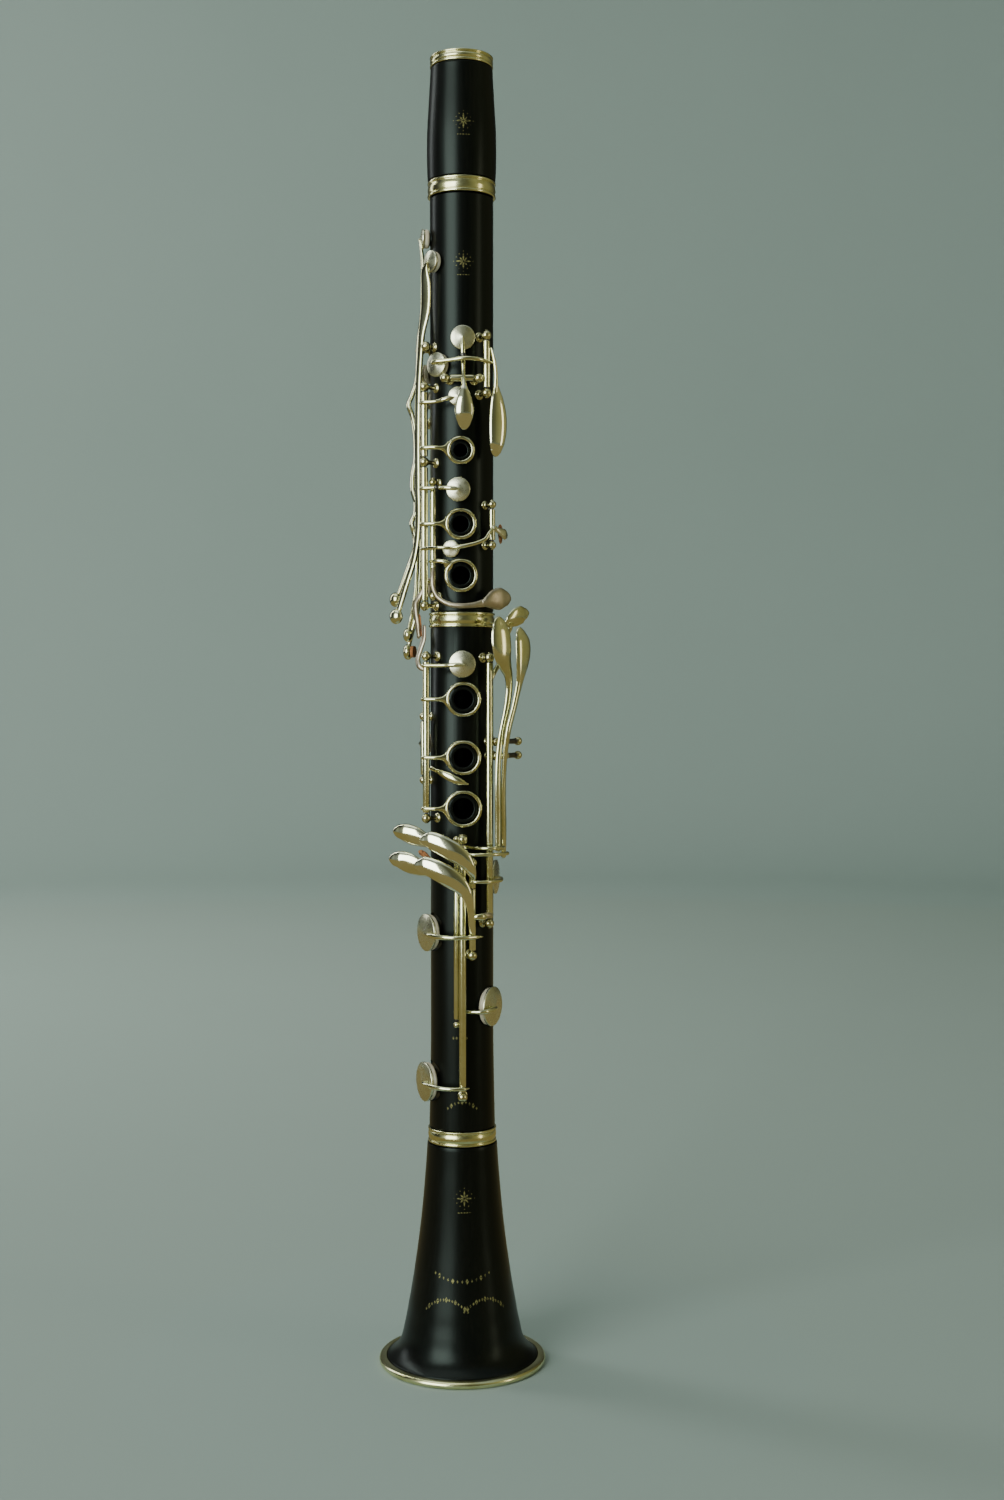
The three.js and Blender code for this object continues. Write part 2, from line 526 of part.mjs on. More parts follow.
function rightEBKey() {
  const spoon = touch(xyz(-23.6, -13.4, 230.4), xyz(-0.9, 0.42, 0.25), outward(-25), 8.4, 4, 1.5);
  const spoonArm = [
    xyz(-19.5, -15.2, 229.3), xyz(-16, -16.6, 228.4), xyz(-12, -17.6, 227.3), xyz(-6, -19.2, 226.2),
    xyz(-0.6, -20, 226),
  ];
  const leverArm = [
    xyz(0.6, -20.4, 235.1), xyz(6, -22.3, 235.1), xyz(12.2, -21.9, 235.1), xyz(16.8, -19, 235.1),
    xyz(20.1, -13.9, 235.1),
  ];
  const padArm = [
    xyz(-0.4, -20.2, 129.9), xyz(-6.5, -19.6, 129.9), xyz(-12.6, -15.4, 130), xyz(-16.3, -9.4, 130.2),
    onCup(E_B_PAD_PHI, 130.4, SEAT_DEPTH),
  ];
  const cup = swung(union(padCup(E_B_PAD_PHI, 130.4, 8.95, SEAT_DEPTH), bar(padArm)), E_B_ROD(0), PAD_TRAVEL);
  add('rh_e_b_key', key(E_B_ROD(128.6), E_B_ROD(238.9), [
    spoon, bar(spoonArm), bar(leverArm, SLIM_ARM_R), cup,
  ]), SILVER);
  add('e_b_pad', swung(padDisc(E_B_PAD_PHI, 130.4, 8.5, SEAT_DEPTH), E_B_ROD(0), PAD_TRAVEL), PAD);
  padSeat(E_B_PAD_PHI, 130.4, 8.5, 5.6);
}

function rightFSharpKey() {
  const spoon = touch(xyz(-21.3, -13.4, 242.9), xyz(-0.9, 0.42, 0.28), outward(-25), 8.2, 4, 1.5);
  const spoonArm = [
    xyz(-18, -15, 241.9), xyz(-15, -16.2, 241), xyz(-11, -16.6, 239.8), xyz(-6.5, -17, 238.4),
    xyz(-2.6, -16.9, 237.8),
  ];
  const leverArm = [
    xyz(-1.6, -15.9, 237.9), xyz(1, -15.9, 237.9), xyz(4.6, -17.4, 237.9), xyz(8, -20.6, 237.9),
    xyz(12.2, -22.2, 237.9),
    xyz(16, -19.8, 237.9), xyz(18.2, -15.7, 237.9),
  ];
  const padArm = [
    xyz(-1.8, -15.9, 163.7), xyz(1.4, -15.9, 163.7), xyz(4.9, -17.1, 163.8), xyz(8.8, -18.2, 164),
    xyz(12.8, -15.8, 164.3), xyz(15.9, -11.6, 164.6),
    onCup(F_SHARP_PAD_PHI, 164.8, SEAT_DEPTH),
  ];
  add('rh_f_sharp_key', key(F_SHARP_ROD(160.8), F_SHARP_ROD(239.4), [
    spoon, bar(spoonArm), bar(leverArm, SLIM_ARM_R), bar(padArm, SLIM_ARM_R),
    padCup(F_SHARP_PAD_PHI, 164.8, 8.95, SEAT_DEPTH),
  ], SLIM_TUBE_R), SILVER);
  add('f_sharp_pad', padDisc(F_SHARP_PAD_PHI, 164.8, 8.5, SEAT_DEPTH), PAD);
  padSeat(F_SHARP_PAD_PHI, 164.8, 8.5, 5.4);
}

function rightFCKey() {
  const spoon = touch(xyz(-8.9, -23.8, 225.4), xyz(-20.8, 2.6, 11.8), outward(-8), 11.9, 4.2, 1.6);
  const stem = [
    xyz(0.6, -24.8, 220.4), xyz(2.6, -24, 217), xyz(3.6, -22.7, 213), xyz(4, -21.7, 207), xyz(4.2, -21, 200),
  ];
  const lug = [xyz(4.8, -20.2, F_C_LEVER_Z), xyz(6.4, -21.6, F_C_LEVER_Z), xyz(9, -21.6, F_C_LEVER_Z)];
  const padArm = [
    xyz(4.9, -20.4, 198.1), xyz(1.5, -23, 198.1), xyz(-4, -22.6, 198.1), xyz(-11.4, -17.6, 198.2),
    xyz(-15.6, -11.6, 198.4), onCup(F_C_PAD_PHI, 198.6, SEAT_DEPTH),
  ];
  const cup = swung(union(padCup(F_C_PAD_PHI, 198.6, 8.45, SEAT_DEPTH), bar(padArm)), F_C_ROD(0), PAD_TRAVEL);
  const tail = [xyz(4.6, -20.2, 198.1), xyz(8.3, -20.6, 198.1)];
  add('rh_f_c_key', key(F_C_ROD(192.2), F_C_ROD(219.3), [
    spoon, bar(stem, 1.4), bar(lug, SLIM_ARM_R), cup, bar(tail, SLIM_ARM_R),
  ]), SILVER);
  add('f_c_pad', swung(padDisc(F_C_PAD_PHI, 198.6, 8, SEAT_DEPTH), F_C_ROD(0), PAD_TRAVEL), PAD);
  padSeat(F_C_PAD_PHI, 198.6, 8, 5.2);
}

function rightAFlatKey() {
  const spoon = touch(xyz(-6.8, -24.1, 236.6), xyz(-20, 2.2, 11.4), outward(-8), 11.6, 4.2, 1.6);
  const stem = [xyz(1.5, -24.7, 232), xyz(3.4, -24.2, 228.8), xyz(4.5, -22.6, 225.5), xyz(4.6, -20.6, 223)];
  const padArm = [
    xyz(5, -20, 222.8), xyz(9, -20.8, 222.8), xyz(13.5, -18.8, 222.8), xyz(17.6, -13.4, 222.9),
    xyz(18.4, -8.4, 223.2), onCup(A_FLAT_PAD_PHI, 223.4, SEAT_DEPTH),
  ];
  add('rh_a_flat_key', key(F_C_ROD(219.9), F_C_ROD(228.6), [
    spoon, bar(stem, 1.4), bar(padArm, SLIM_ARM_R), padCup(A_FLAT_PAD_PHI, 223.4, 7.7, SEAT_DEPTH),
  ]), SILVER);
  add('a_flat_pad', padDisc(A_FLAT_PAD_PHI, 223.4, 7.3, SEAT_DEPTH), PAD);
  padSeat(A_FLAT_PAD_PHI, 223.4, 7.3, 4.8);
}

// ---------------------------------------------------------------- thumb rest
function thumbRest() {
  const seat = WOOD_R + GAP;
  const outline = [
    [14.8, -1.4], [31, -1.4], [34.6, 0.6], [35.4, 4.6], [33.6, 4.6], [32.6, 2], [30, 0.9], [14.8, 0.9],
  ];
  const plate = new THREE.BoxGeometry(9, 2, 26).translate(0, seat + 1, THUMB_REST_Z + 7);
  const section = new THREE.Shape(outline.map(([out, up]) => new THREE.Vector2(out, up + THUMB_REST_Z)));
  const hook = new THREE.ExtrudeGeometry(section, { depth: THUMB_REST_W, bevelEnabled: false });
  hook.translate(0, 0, -THUMB_REST_W / 2);
  hook.applyMatrix4(new THREE.Matrix4().makeBasis(xyz(0, 1, 0), xyz(0, 0, 1), xyz(1, 0, 0)));
  add('thumb_rest', union(solid(plate), solid(hook)), SILVER);
}

// ---------------------------------------------------------------- wooden bodies, their rings and corks
function bell() {
  const socketFloor = BELL_TOP - TENON_LENGTH - 1;
  const collar = BELL_TOP - BELL_RING_H - GAP;
  add('bell_body', turned([
    [34.5, 3.9], [31, 7], [27.65, 11.4], [26.3, 18.3], [24.55, 27.6], [22.9, 36.9], [21.5, 46.1],
    [20.15, 55.5],
    [19, 64.8], [18.05, 74], [17.25, 83.2], [16.5, 92.5], [15.8, collar], [SOCKET_WALL_R, collar],
    [SOCKET_WALL_R, BELL_TOP], [SOCKET_R, BELL_TOP], [SOCKET_R, socketFloor], [BORE_R + 0.6, socketFloor],
    [9.6, 70], [12.5, 45], [17.5, 25], [23.5, 11], [31, 0.5], [34.5, 0.5], [34.5, 3.9],
  ], 28), WOOD);
  const low = 34.5 + GAP;
  add('bell_rim_ring', turned([
    [low, 0], [37.2, 0], [RIM_R, 0.8], [RIM_R, 2.2], [37.2, RIM_H], [low, RIM_H], [low, 0],
  ], 32), SILVER);
  add('bell_socket_ring', socketRing(BELL_TOP - BELL_RING_H, BELL_RING_H, 15.6), SILVER);
}

// Ring round a socket, waisted between two edge beads.
function socketRing(bottom, height, radius) {
  const inner = SOCKET_WALL_R + GAP;
  const profile = [
    [inner, 0], [radius, 0], [radius - 0.3, height * 0.25], [radius - 0.3, height * 0.75], [radius, height],
    [inner, height], [inner, 0],
  ];
  return turned(profile, 20).translate([0, 0, bottom]);
}

// Cork glued into the groove of a tenon that runs from bottom to top.
function tenonCork(bottom, top) {
  return band(GROOVE_R + GAP, CORK_R, bottom + CORK_EDGE + GAP, top - CORK_EDGE - GAP, 18);
}

function lowerJoint() {
  const foot = BELL_TOP - TENON_LENGTH;
  const ringBottom = LOWER_TOP - MIDDLE_RING_H;
  const socketFloor = LOWER_TOP - TENON_LENGTH - 1;
  const blank = turned([
    [TENON_R, foot], [TENON_R, foot + CORK_EDGE], [GROOVE_R, foot + CORK_EDGE],
    [GROOVE_R, BELL_TOP - CORK_EDGE],
    [TENON_R, BELL_TOP - CORK_EDGE], [TENON_R, BELL_TOP + GAP], [woodR(BELL_TOP + GAP), BELL_TOP + GAP],
    [WOOD_R, FLARE_TOP], [WOOD_R, ringBottom - GAP], [SOCKET_WALL_R, ringBottom - GAP],
    [SOCKET_WALL_R, LOWER_TOP],
    [SOCKET_R, LOWER_TOP], [SOCKET_R, socketFloor], [BORE_R, socketFloor], [BORE_R, foot], [TENON_R, foot],
  ], 24);
  add('lower_joint_body', union(blank, chimneys.lower).subtract(union(holes.lower)), WOOD);
  add('middle_socket_ring', socketRing(ringBottom, MIDDLE_RING_H, 14.75), SILVER);
  add('lower_tenon_cork', tenonCork(foot, BELL_TOP), CORK);
}

function upperJoint() {
  const foot = LOWER_TOP - TENON_LENGTH;
  const head = UPPER_TOP + TENON_LENGTH;
  const blank = turned([
    [TENON_R, foot], [TENON_R, foot + CORK_EDGE], [GROOVE_R, foot + CORK_EDGE],
    [GROOVE_R, LOWER_TOP - CORK_EDGE],
    [TENON_R, LOWER_TOP - CORK_EDGE], [TENON_R, LOWER_TOP + GAP], [WOOD_R, LOWER_TOP + GAP],
    [WOOD_R, UPPER_TOP - GAP], [TENON_R, UPPER_TOP - GAP], [TENON_R, UPPER_TOP + CORK_EDGE],
    [GROOVE_R, UPPER_TOP + CORK_EDGE], [GROOVE_R, head - CORK_EDGE], [TENON_R, head - CORK_EDGE],
    [TENON_R, head],
    [BORE_R, head], [BORE_R, foot], [TENON_R, foot],
  ], 24);
  add('upper_joint_body', union(blank, chimneys.upper).subtract(union(holes.upper)), WOOD);
  add('middle_tenon_cork', tenonCork(foot, LOWER_TOP), CORK);
  add('top_tenon_cork', tenonCork(UPPER_TOP, head), CORK);
}

function barrel() {
  const topRing = BARREL_TOP - BARREL_TOP_RING_H;
  const collar = UPPER_TOP + BARREL_RING_H + GAP;
  const mouth = BARREL_TOP - MOUTHPIECE_SOCKET_DEPTH;
  const socketTop = UPPER_TOP + TENON_LENGTH + 1;
  add('barrel_body', turned([
    [SOCKET_WALL_R, UPPER_TOP], [SOCKET_WALL_R, collar], [15.35, collar], [15.6, 549], [15.5, 559],
    [14.75, 571], [14.1, topRing - GAP], [BARREL_NECK_R, topRing - GAP], [BARREL_NECK_R, BARREL_TOP],
    [MOUTHPIECE_SOCKET_R, BARREL_TOP], [MOUTHPIECE_SOCKET_R, mouth], [BORE_R, mouth], [BORE_R, socketTop],
    [SOCKET_R, socketTop], [SOCKET_R, UPPER_TOP], [SOCKET_WALL_R, UPPER_TOP],
  ], 24), WOOD);
  add('barrel_bottom_ring', socketRing(UPPER_TOP, BARREL_RING_H, 15.4), SILVER);
  add('barrel_top_ring', band(BARREL_NECK_R + GAP, 14.25, topRing, BARREL_TOP, 24), SILVER);
}

aKey();
gSharpKey();
upperRingKeys();
thirdRingAndCSharp();
sliverKey();
registerKey();
thumbRingKey();
sideKeys();
lowerRingKeys();
bSliverKey();
leftHandLevers();
leftFCLever();
littleFingerHinges();
rightEBKey();
rightFSharpKey();
rightFCKey();
rightAFlatKey();
thumbRest();
bell();
lowerJoint();
upperJoint();
barrel();

export default group;
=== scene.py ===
import math
import bmesh
import bpy
from mathutils import Matrix, Vector

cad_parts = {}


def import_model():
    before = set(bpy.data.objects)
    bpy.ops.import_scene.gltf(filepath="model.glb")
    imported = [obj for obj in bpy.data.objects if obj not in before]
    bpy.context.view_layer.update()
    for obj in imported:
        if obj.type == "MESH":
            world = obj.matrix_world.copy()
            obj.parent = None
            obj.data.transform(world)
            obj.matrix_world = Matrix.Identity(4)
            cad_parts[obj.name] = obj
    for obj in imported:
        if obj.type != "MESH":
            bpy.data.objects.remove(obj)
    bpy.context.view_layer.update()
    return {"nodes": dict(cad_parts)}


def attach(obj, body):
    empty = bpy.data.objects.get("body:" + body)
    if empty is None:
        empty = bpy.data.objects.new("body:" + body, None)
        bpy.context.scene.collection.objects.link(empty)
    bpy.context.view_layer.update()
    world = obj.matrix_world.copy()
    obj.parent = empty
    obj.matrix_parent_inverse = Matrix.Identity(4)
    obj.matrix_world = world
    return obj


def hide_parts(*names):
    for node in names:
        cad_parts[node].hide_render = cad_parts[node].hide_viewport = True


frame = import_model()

MM = 0.001

# ---- places on the instrument, in mm
# phi is the angle round the bore from the front towards +X, r the distance from the bore axis.
# P makes a point from phi, r and z, F from phi, t to its side, h outwards and z.


def V(x, y, z):
    return Vector((x, y, z))


def out(phi):
    return V(math.sin(math.radians(phi)), -math.cos(math.radians(phi)), 0)


def side(phi):
    return V(math.cos(math.radians(phi)), math.sin(math.radians(phi)), 0)


def P(phi, r, z):
    return out(phi) * r + V(0, 0, z)


def F(phi, t, h, z):
    return out(phi) * h + side(phi) * t + V(0, 0, z)


def rail(phi, r):
    """Upright line: a function that gives its point at a height."""
    return lambda z: P(phi, r, z)


def level(z, *places):
    return [V(x, y, z) for x, y in places]


def back(*places):
    return [F(BACK, 0, h, z) for h, z in places]


def radial(p):
    return V(p.x, p.y, 0).normalized()


ORIGIN = V(0, 0, 0)
UP = V(0, 0, 1)
FRONT = V(0, -1, 0)
BACK = 180  # phi
WOOD_R = 14.3
FLARE = 0.7  # how much the lower joint widens towards the bell, from FLARE_TOP down to BELL_TOP
FLARE_TOP = 150.0
BELL_TOP = 108.8
BORE_R = 7.4
SOCKET_R = 12.6
TENON_R = 11.3
CORK_BED_R = 10.1  # tenon under its cork
THUMB_Z = 427.0  # thumb hole
REGISTER_Z = 480  # register vent
RING_TRAVEL = 4.5  # degrees that the open ring keys stand off their holes
PAD_TRAVEL = 7.5  # degrees that the open little-finger keys stand off theirs
ROD_R = 0.75  # pivot rods inside the keys' tubes
SUNK = 1.9  # depth of the milled flats under the four large pads
E_B_PAD = (-73, 130.4)  # places of those pads: phi, z
F_SHARP_PAD = (62, 164.8)
F_C_PAD = (-69, 198.6)
A_FLAT_PAD = (78, 223.4)


def wood_r(z):
    return WOOD_R + FLARE * max(0.0, (FLARE_TOP - z) / (FLARE_TOP - BELL_TOP))


# ---- materials
MATERIALS = {}


class Nodes:
    """Short way to build one material's node tree."""

    def __init__(self, name):
        self.material = bpy.data.materials.new(name)
        self.material.use_nodes = True
        self.tree = self.material.node_tree
        self.shader = self.tree.nodes["Principled BSDF"]
        self.coords = self.add("ShaderNodeTexCoord")
        MATERIALS[name] = self.material

    def add(self, kind, inputs=(), **settings):
        node = self.tree.nodes.new(kind)
        for key, value in settings.items():
            setattr(node, key, value)
        for socket, value in dict(inputs).items():
            node.inputs[socket].default_value = value
        return node

    def link(self, a, b):
        self.tree.links.new(a, b)

    def set(self, **values):
        for key, value in values.items():
            self.shader.inputs[key.replace("_", " ").title().replace("Ior", "IOR")].default_value = value

    def noise(self, scale, detail=3.0, stretch=(1, 1, 1), rough=0.5):
        mapping = self.add("ShaderNodeMapping", {"Scale": stretch})
        self.link(self.coords.outputs["Object"], mapping.inputs["Vector"])
        node = self.add("ShaderNodeTexNoise", {"Scale": scale, "Detail": detail, "Roughness": rough})
        self.link(mapping.outputs["Vector"], node.inputs["Vector"])
        return node.outputs["Fac"]

    def ramp(self, source, stops):
        node = self.add("ShaderNodeValToRGB")
        elements = node.color_ramp.elements
        for place, colour in stops[1:-1]:
            elements.new(place)
        for element, (place, colour) in zip(elements, stops):
            element.position = place
            element.color = (*colour, 1) if isinstance(colour, tuple) else (colour, colour, colour, 1)
        self.link(source, node.inputs["Fac"])
        return node.outputs["Color"]

    def scaled(self, source, low, high):
        node = self.add("ShaderNodeMapRange", {"To Min": low, "To Max": high})
        self.link(source, node.inputs["Value"])
        return node.outputs["Result"]

    def mixed(self, factor, a, b, blend="MIX"):
        node = self.add("ShaderNodeMix", data_type="RGBA", blend_type=blend)
        for socket, value in ((node.inputs[0], factor), (node.inputs[6], a), (node.inputs[7], b)):
            if isinstance(value, (int, float)):
                socket.default_value = value
            elif isinstance(value, tuple):
                socket.default_value = (*value, 1)
            else:
                self.link(value, socket)
        return node.outputs[2]

    def bump(self, source, strength, distance):
        node = self.add("ShaderNodeBump", {"Strength": strength, "Distance": distance})
        self.link(source, node.inputs["Height"])
        self.link(node.outputs["Normal"], self.shader.inputs["Normal"])

    def colour(self, source):
        self.link(source, self.shader.inputs["Base Color"])

    def roughness(self, source):
        self.link(source, self.shader.inputs["Roughness"])


def plated(name, bright, dull, rough, stain=0.35):
    """Plated nickel silver: warm, softly worn, with tarnish in patches and fine handling scratches."""
    n = Nodes(name)
    n.set(metallic=1.0)
    patches = n.ramp(n.noise(95, 4), [(0.42, 0), (0.72, 1)])
    specks = n.ramp(n.noise(900, 3), [(0.56, 0), (0.74, 1)])
    base = n.mixed(patches, bright, dull)
    worn = n.mixed(specks, base, tuple(c * (1 - stain) for c in dull))
    n.colour(n.mixed(0.35, base, worn))
    n.roughness(n.scaled(n.noise(420, 5, rough=0.65), rough * 0.65, rough * 1.7))
    n.bump(n.noise(5200, 2, stretch=(1, 1, 0.25)), 0.05, 0.00002)


def blackwood(name):
    """Oiled near-black hardwood: fine straight grain along the bore and small open pores."""
    n = Nodes(name)
    n.set(specular_ior_level=0.22, specular_tint=(0.82, 1.0, 0.91, 1))
    grain = n.noise(900, 5, stretch=(1, 1, 0.018), rough=0.6)
    figure = n.noise(120, 4, stretch=(1, 1, 0.05))
    pores = n.ramp(n.noise(2600, 2, stretch=(1, 1, 0.05)), [(0.30, 1), (0.42, 0)])
    base = n.ramp(grain, [(0.25, (0.0016, 0.0018, 0.0017)), (0.55, (0.0034, 0.0034, 0.0030)),
        (0.85, (0.0075, 0.0064, 0.0048))])
    warm = n.mixed(n.ramp(figure, [(0.45, 0), (0.8, 0.5)]), base, (0.0056, 0.0046, 0.0034))
    n.colour(n.mixed(pores, warm, (0.001, 0.001, 0.001)))
    n.roughness(n.scaled(grain, 0.25, 0.35))
    n.bump(grain, 0.07, 0.00005)


def cork(name, pale, dark):
    n = Nodes(name)
    cells = n.add("ShaderNodeTexVoronoi", {"Scale": 1500})
    n.link(n.coords.outputs["Object"], cells.inputs["Vector"])
    flecks = n.ramp(n.noise(700, 5), [(0.52, 0), (0.66, 1)])
    n.colour(n.mixed(flecks, n.mixed(cells.outputs["Distance"], pale, dark), tuple(c * 0.35 for c in dark)))
    n.set(roughness=0.88)
    n.bump(cells.outputs["Distance"], 0.35, 0.0001)


def pad_skin(name):
    """Thin pale skin over felt, a little yellowed, with a soft wrinkle."""
    n = Nodes(name)
    wrinkle = n.noise(1100, 5, rough=0.7)
    n.colour(n.mixed(n.ramp(n.noise(260, 4), [(0.35, 0), (0.75, 1)]), (0.78, 0.70, 0.55), (0.60, 0.48, 0.32)))
    n.roughness(n.scaled(wrinkle, 0.45, 0.75))
    n.bump(wrinkle, 0.3, 0.00006)


def gilt(name):
    """Old gold rubbed into shallow stamping, worn thin in places."""
    n = Nodes(name)
    n.colour(n.ramp(n.noise(1500, 4), [(0.36, (0.020, 0.019, 0.008)), (0.56, (0.26, 0.24, 0.085))]))
    n.set(metallic=0.55)
    n.roughness(n.scaled(n.noise(2200, 3), 0.38, 0.62))
    n.bump(n.noise(3000, 3), 0.25, 0.00003)


def dark_steel(name):
    n = Nodes(name)
    n.set(metallic=1.0)
    n.colour(n.ramp(n.noise(800, 4), [(0.3, (0.05, 0.05, 0.06)), (0.7, (0.16, 0.15, 0.14))]))
    n.roughness(n.scaled(n.noise(1500, 3), 0.25, 0.45))
    n.bump(n.noise(4000, 2), 0.08, 0.00002)


def studio(name, colour):
    n = Nodes(name)
    n.colour(n.mixed(n.noise(3, 2), colour, tuple(c * 0.96 for c in colour)))
    n.set(roughness=0.9)
    n.bump(n.noise(400, 3), 0.04, 0.0001)


plated("keys", (0.82, 0.82, 0.55), (0.70, 0.675, 0.37), 0.13)
plated("spoons", (0.90, 0.90, 0.68), (0.84, 0.82, 0.53), 0.09, 0.10)
plated("posts", (0.73, 0.71, 0.44), (0.50, 0.455, 0.24), 0.17)
plated("cups", (0.77, 0.77, 0.58), (0.68, 0.665, 0.46), 0.24, 0.12)
plated("rings", (0.80, 0.79, 0.47), (0.66, 0.62, 0.29), 0.17, 0.2)
plated("worn_plate", (0.56, 0.50, 0.38), (0.42, 0.35, 0.26), 0.32)
blackwood("wood")
cork("cork", (0.62, 0.38, 0.18), (0.40, 0.22, 0.10))
cork("old_cork", (0.50, 0.21, 0.07), (0.30, 0.11, 0.04))
pad_skin("pad")
gilt("gilt")
dark_steel("steel")
studio("backdrop", (0.335, 0.405, 0.365))

# ---- mesh parts: (vertices, faces, material)


def lathe(profile, origin, axis, material, sides, loop=False):
    """Turned shape from [radius, height] points, from the bottom up the outside."""
    turn = UP.rotation_difference(axis.normalized())
    verts, faces, rows = [], [], []
    for r, h in profile:
        if r < 1e-6:
            rows.append([len(verts)])
            verts.append(turn @ V(0, 0, h) + origin)
        else:
            rows.append(list(range(len(verts), len(verts) + sides)))
            for k in range(sides):
                a = 2 * math.pi * k / sides
                verts.append(turn @ V(r * math.cos(a), r * math.sin(a), h) + origin)
    after = rows[1:] + ([rows[0]] if loop else [])
    for a, b in zip(rows, after):
        for k in range(sides):
            m = (k + 1) % sides
            corners = [a[k % len(a)], a[m % len(a)], b[m % len(b)], b[k % len(b)]]
            corners = list(dict.fromkeys(corners))
            if len(corners) > 2:
                faces.append(corners)
    return (verts, faces, material)


def eased(profile, radius, loop=False):
    """The same profile with its corners rounded."""
    result = []
    count = len(profile)
    for i, point in enumerate(profile):
        here = Vector(point)
        if not loop and i in (0, count - 1):
            result.append(point)
            continue
        before = Vector(profile[i - 1])
        after = Vector(profile[(i + 1) % count])
        a, b = before - here, after - here
        cut = min(radius, a.length * 0.45, b.length * 0.45)
        start, end = here + a.normalized() * cut, here + b.normalized() * cut
        for s in (0, 0.33, 0.67, 1):
            p = start.lerp(here, s).lerp(here.lerp(end, s), s)
            result.append((max(p.x, 0.0), p.y))
    return result


def tube(a, b, radius, material="keys", sides=24):
    length = (b - a).length
    profile = eased([(0, 0), (radius, 0), (radius, length), (0, length)], 0.18)
    return lathe(profile, a, b - a, material, sides)


def ball(centre, radius, material="posts", axis=UP):
    steps = 14
    profile = []
    for k in range(steps + 1):
        a = math.pi * k / steps
        profile.append((radius * math.sin(a) if 0 < k < steps else 0, -radius * math.cos(a)))
    return lathe(profile, centre, axis, material, 28)


def route(points, fine):
    """Points along a smooth curve through the given ones, each with its place in the list."""
    pts = [points[0] * 2 - points[1]] + list(points) + [points[-1] * 2 - points[-2]]
    result = []
    for i in range(len(points) - 1):
        p0, p1, p2, p3 = pts[i:i + 4]
        t0 = 0.0
        t1 = t0 + max((p1 - p0).length, 1e-4) ** 0.5
        t2 = t1 + max((p2 - p1).length, 1e-4) ** 0.5
        t3 = t2 + max((p3 - p2).length, 1e-4) ** 0.5
        for s in range(fine):
            t = t1 + (t2 - t1) * s / fine
            a1 = p0 * ((t1 - t) / (t1 - t0)) + p1 * ((t - t0) / (t1 - t0))
            a2 = p1 * ((t2 - t) / (t2 - t1)) + p2 * ((t - t1) / (t2 - t1))
            a3 = p2 * ((t3 - t) / (t3 - t2)) + p3 * ((t - t2) / (t3 - t2))
            b1 = a1 * ((t2 - t) / (t2 - t0)) + a2 * ((t - t0) / (t2 - t0))
            b2 = a2 * ((t3 - t) / (t3 - t1)) + a3 * ((t - t1) / (t3 - t1))
            result.append((b1 * ((t2 - t) / (t2 - t1)) + b2 * ((t - t1) / (t2 - t1)), i + s / fine))
    result.append((points[-1].copy(), len(points) - 1.0))
    return result


def valued(values, place):
    """A value between list entries, eased at each entry."""
    if isinstance(values, (int, float)):
        return values
    i = min(int(place), len(values) - 2)
    s = place - i
    p = [values[max(i - 1, 0)], values[i], values[i + 1], values[min(i + 2, len(values) - 1)]]
    m1, m2 = (p[2] - p[0]) / 2, (p[3] - p[1]) / 2
    h = (2 * s ** 3 - 3 * s ** 2 + 1) * p[1] + (s ** 3 - 2 * s ** 2 + s) * m1
    h += (-2 * s ** 3 + 3 * s ** 2) * p[2] + (s ** 3 - s ** 2) * m2
    return max(h, 0.02)


def blade(points, widths, heights, material="keys", face=None, belly=0.7, fine=6, sides=14,
        round_ends=(0.8, 0.8), square=1.0):
    """Forged strip along a smooth curve: half widths across it, half heights towards its face.

    face is the direction its domed side looks (outwards from the bore if not given), belly the depth
    of its underside against its face, round_ends how far each end is drawn out, and square how flat its
    faces are, from 1 for an ellipse down to 0.3 for a bar with rounded edges."""
    samples = route(points, fine)
    frames = []
    last = len(samples) - 1
    for i, (p, place) in enumerate(samples):
        along = (samples[min(i + 1, last)][0] - samples[max(i - 1, 0)][0]).normalized()
        facing = radial(p) if face is None else face
        facing = (facing - along * facing.dot(along)).normalized()
        frames.append((p, along, facing, along.cross(facing), valued(widths, place), valued(heights, place)))
    rings = []
    p, along, facing, across, w, h = frames[0]
    reach = round_ends[0] * w
    for left in (0.17, 0.34, 0.51, 0.68, 0.85):
        rings.append((p - along * reach * (1 - left * left), facing, across, w * left, h * math.sqrt(left)))
    tip_a = p - along * reach
    for p, along, facing, across, w, h in frames:
        rings.append((p, facing, across, w, h))
    reach = round_ends[1] * w
    for left in (0.85, 0.68, 0.51, 0.34, 0.17):
        rings.append((p + along * reach * (1 - left * left), facing, across, w * left, h * math.sqrt(left)))
    tip_b = p + along * reach
    verts, faces = [tip_a], []
    for centre, facing, across, w, h in rings:
        for k in range(sides):
            a = 2 * math.pi * k / sides
            u = math.copysign(abs(math.cos(a)) ** square, math.cos(a)) * w
            rise = math.copysign(abs(math.sin(a)) ** square, math.sin(a)) * h
            verts.append(centre + across * u + facing * (rise if rise > 0 else rise * belly))
    verts.append(tip_b)
    for j in range(len(rings) - 1):
        for k in range(sides):
            m = (k + 1) % sides
            a, b = 1 + j * sides, 1 + (j + 1) * sides
            faces.append([a + k, b + k, b + m, a + m])
    end = len(verts) - 1
    for k in range(sides):
        m = (k + 1) % sides
        faces.append([0, 1 + k, 1 + m])
        faces.append([end, end - sides + m, end - sides + k])
    return (verts, faces, material)


def arm_strip(points, widths, heights, material="keys", belly=0.7, sides=16, ends=(1.0, 0.3)):
    """Slim arm with its face away from the bore."""
    return blade(points, widths, heights, material, None, belly, 7, sides, ends)


def cork_strip(points, widths, heights):
    return blade(points, widths, heights, "old_cork")


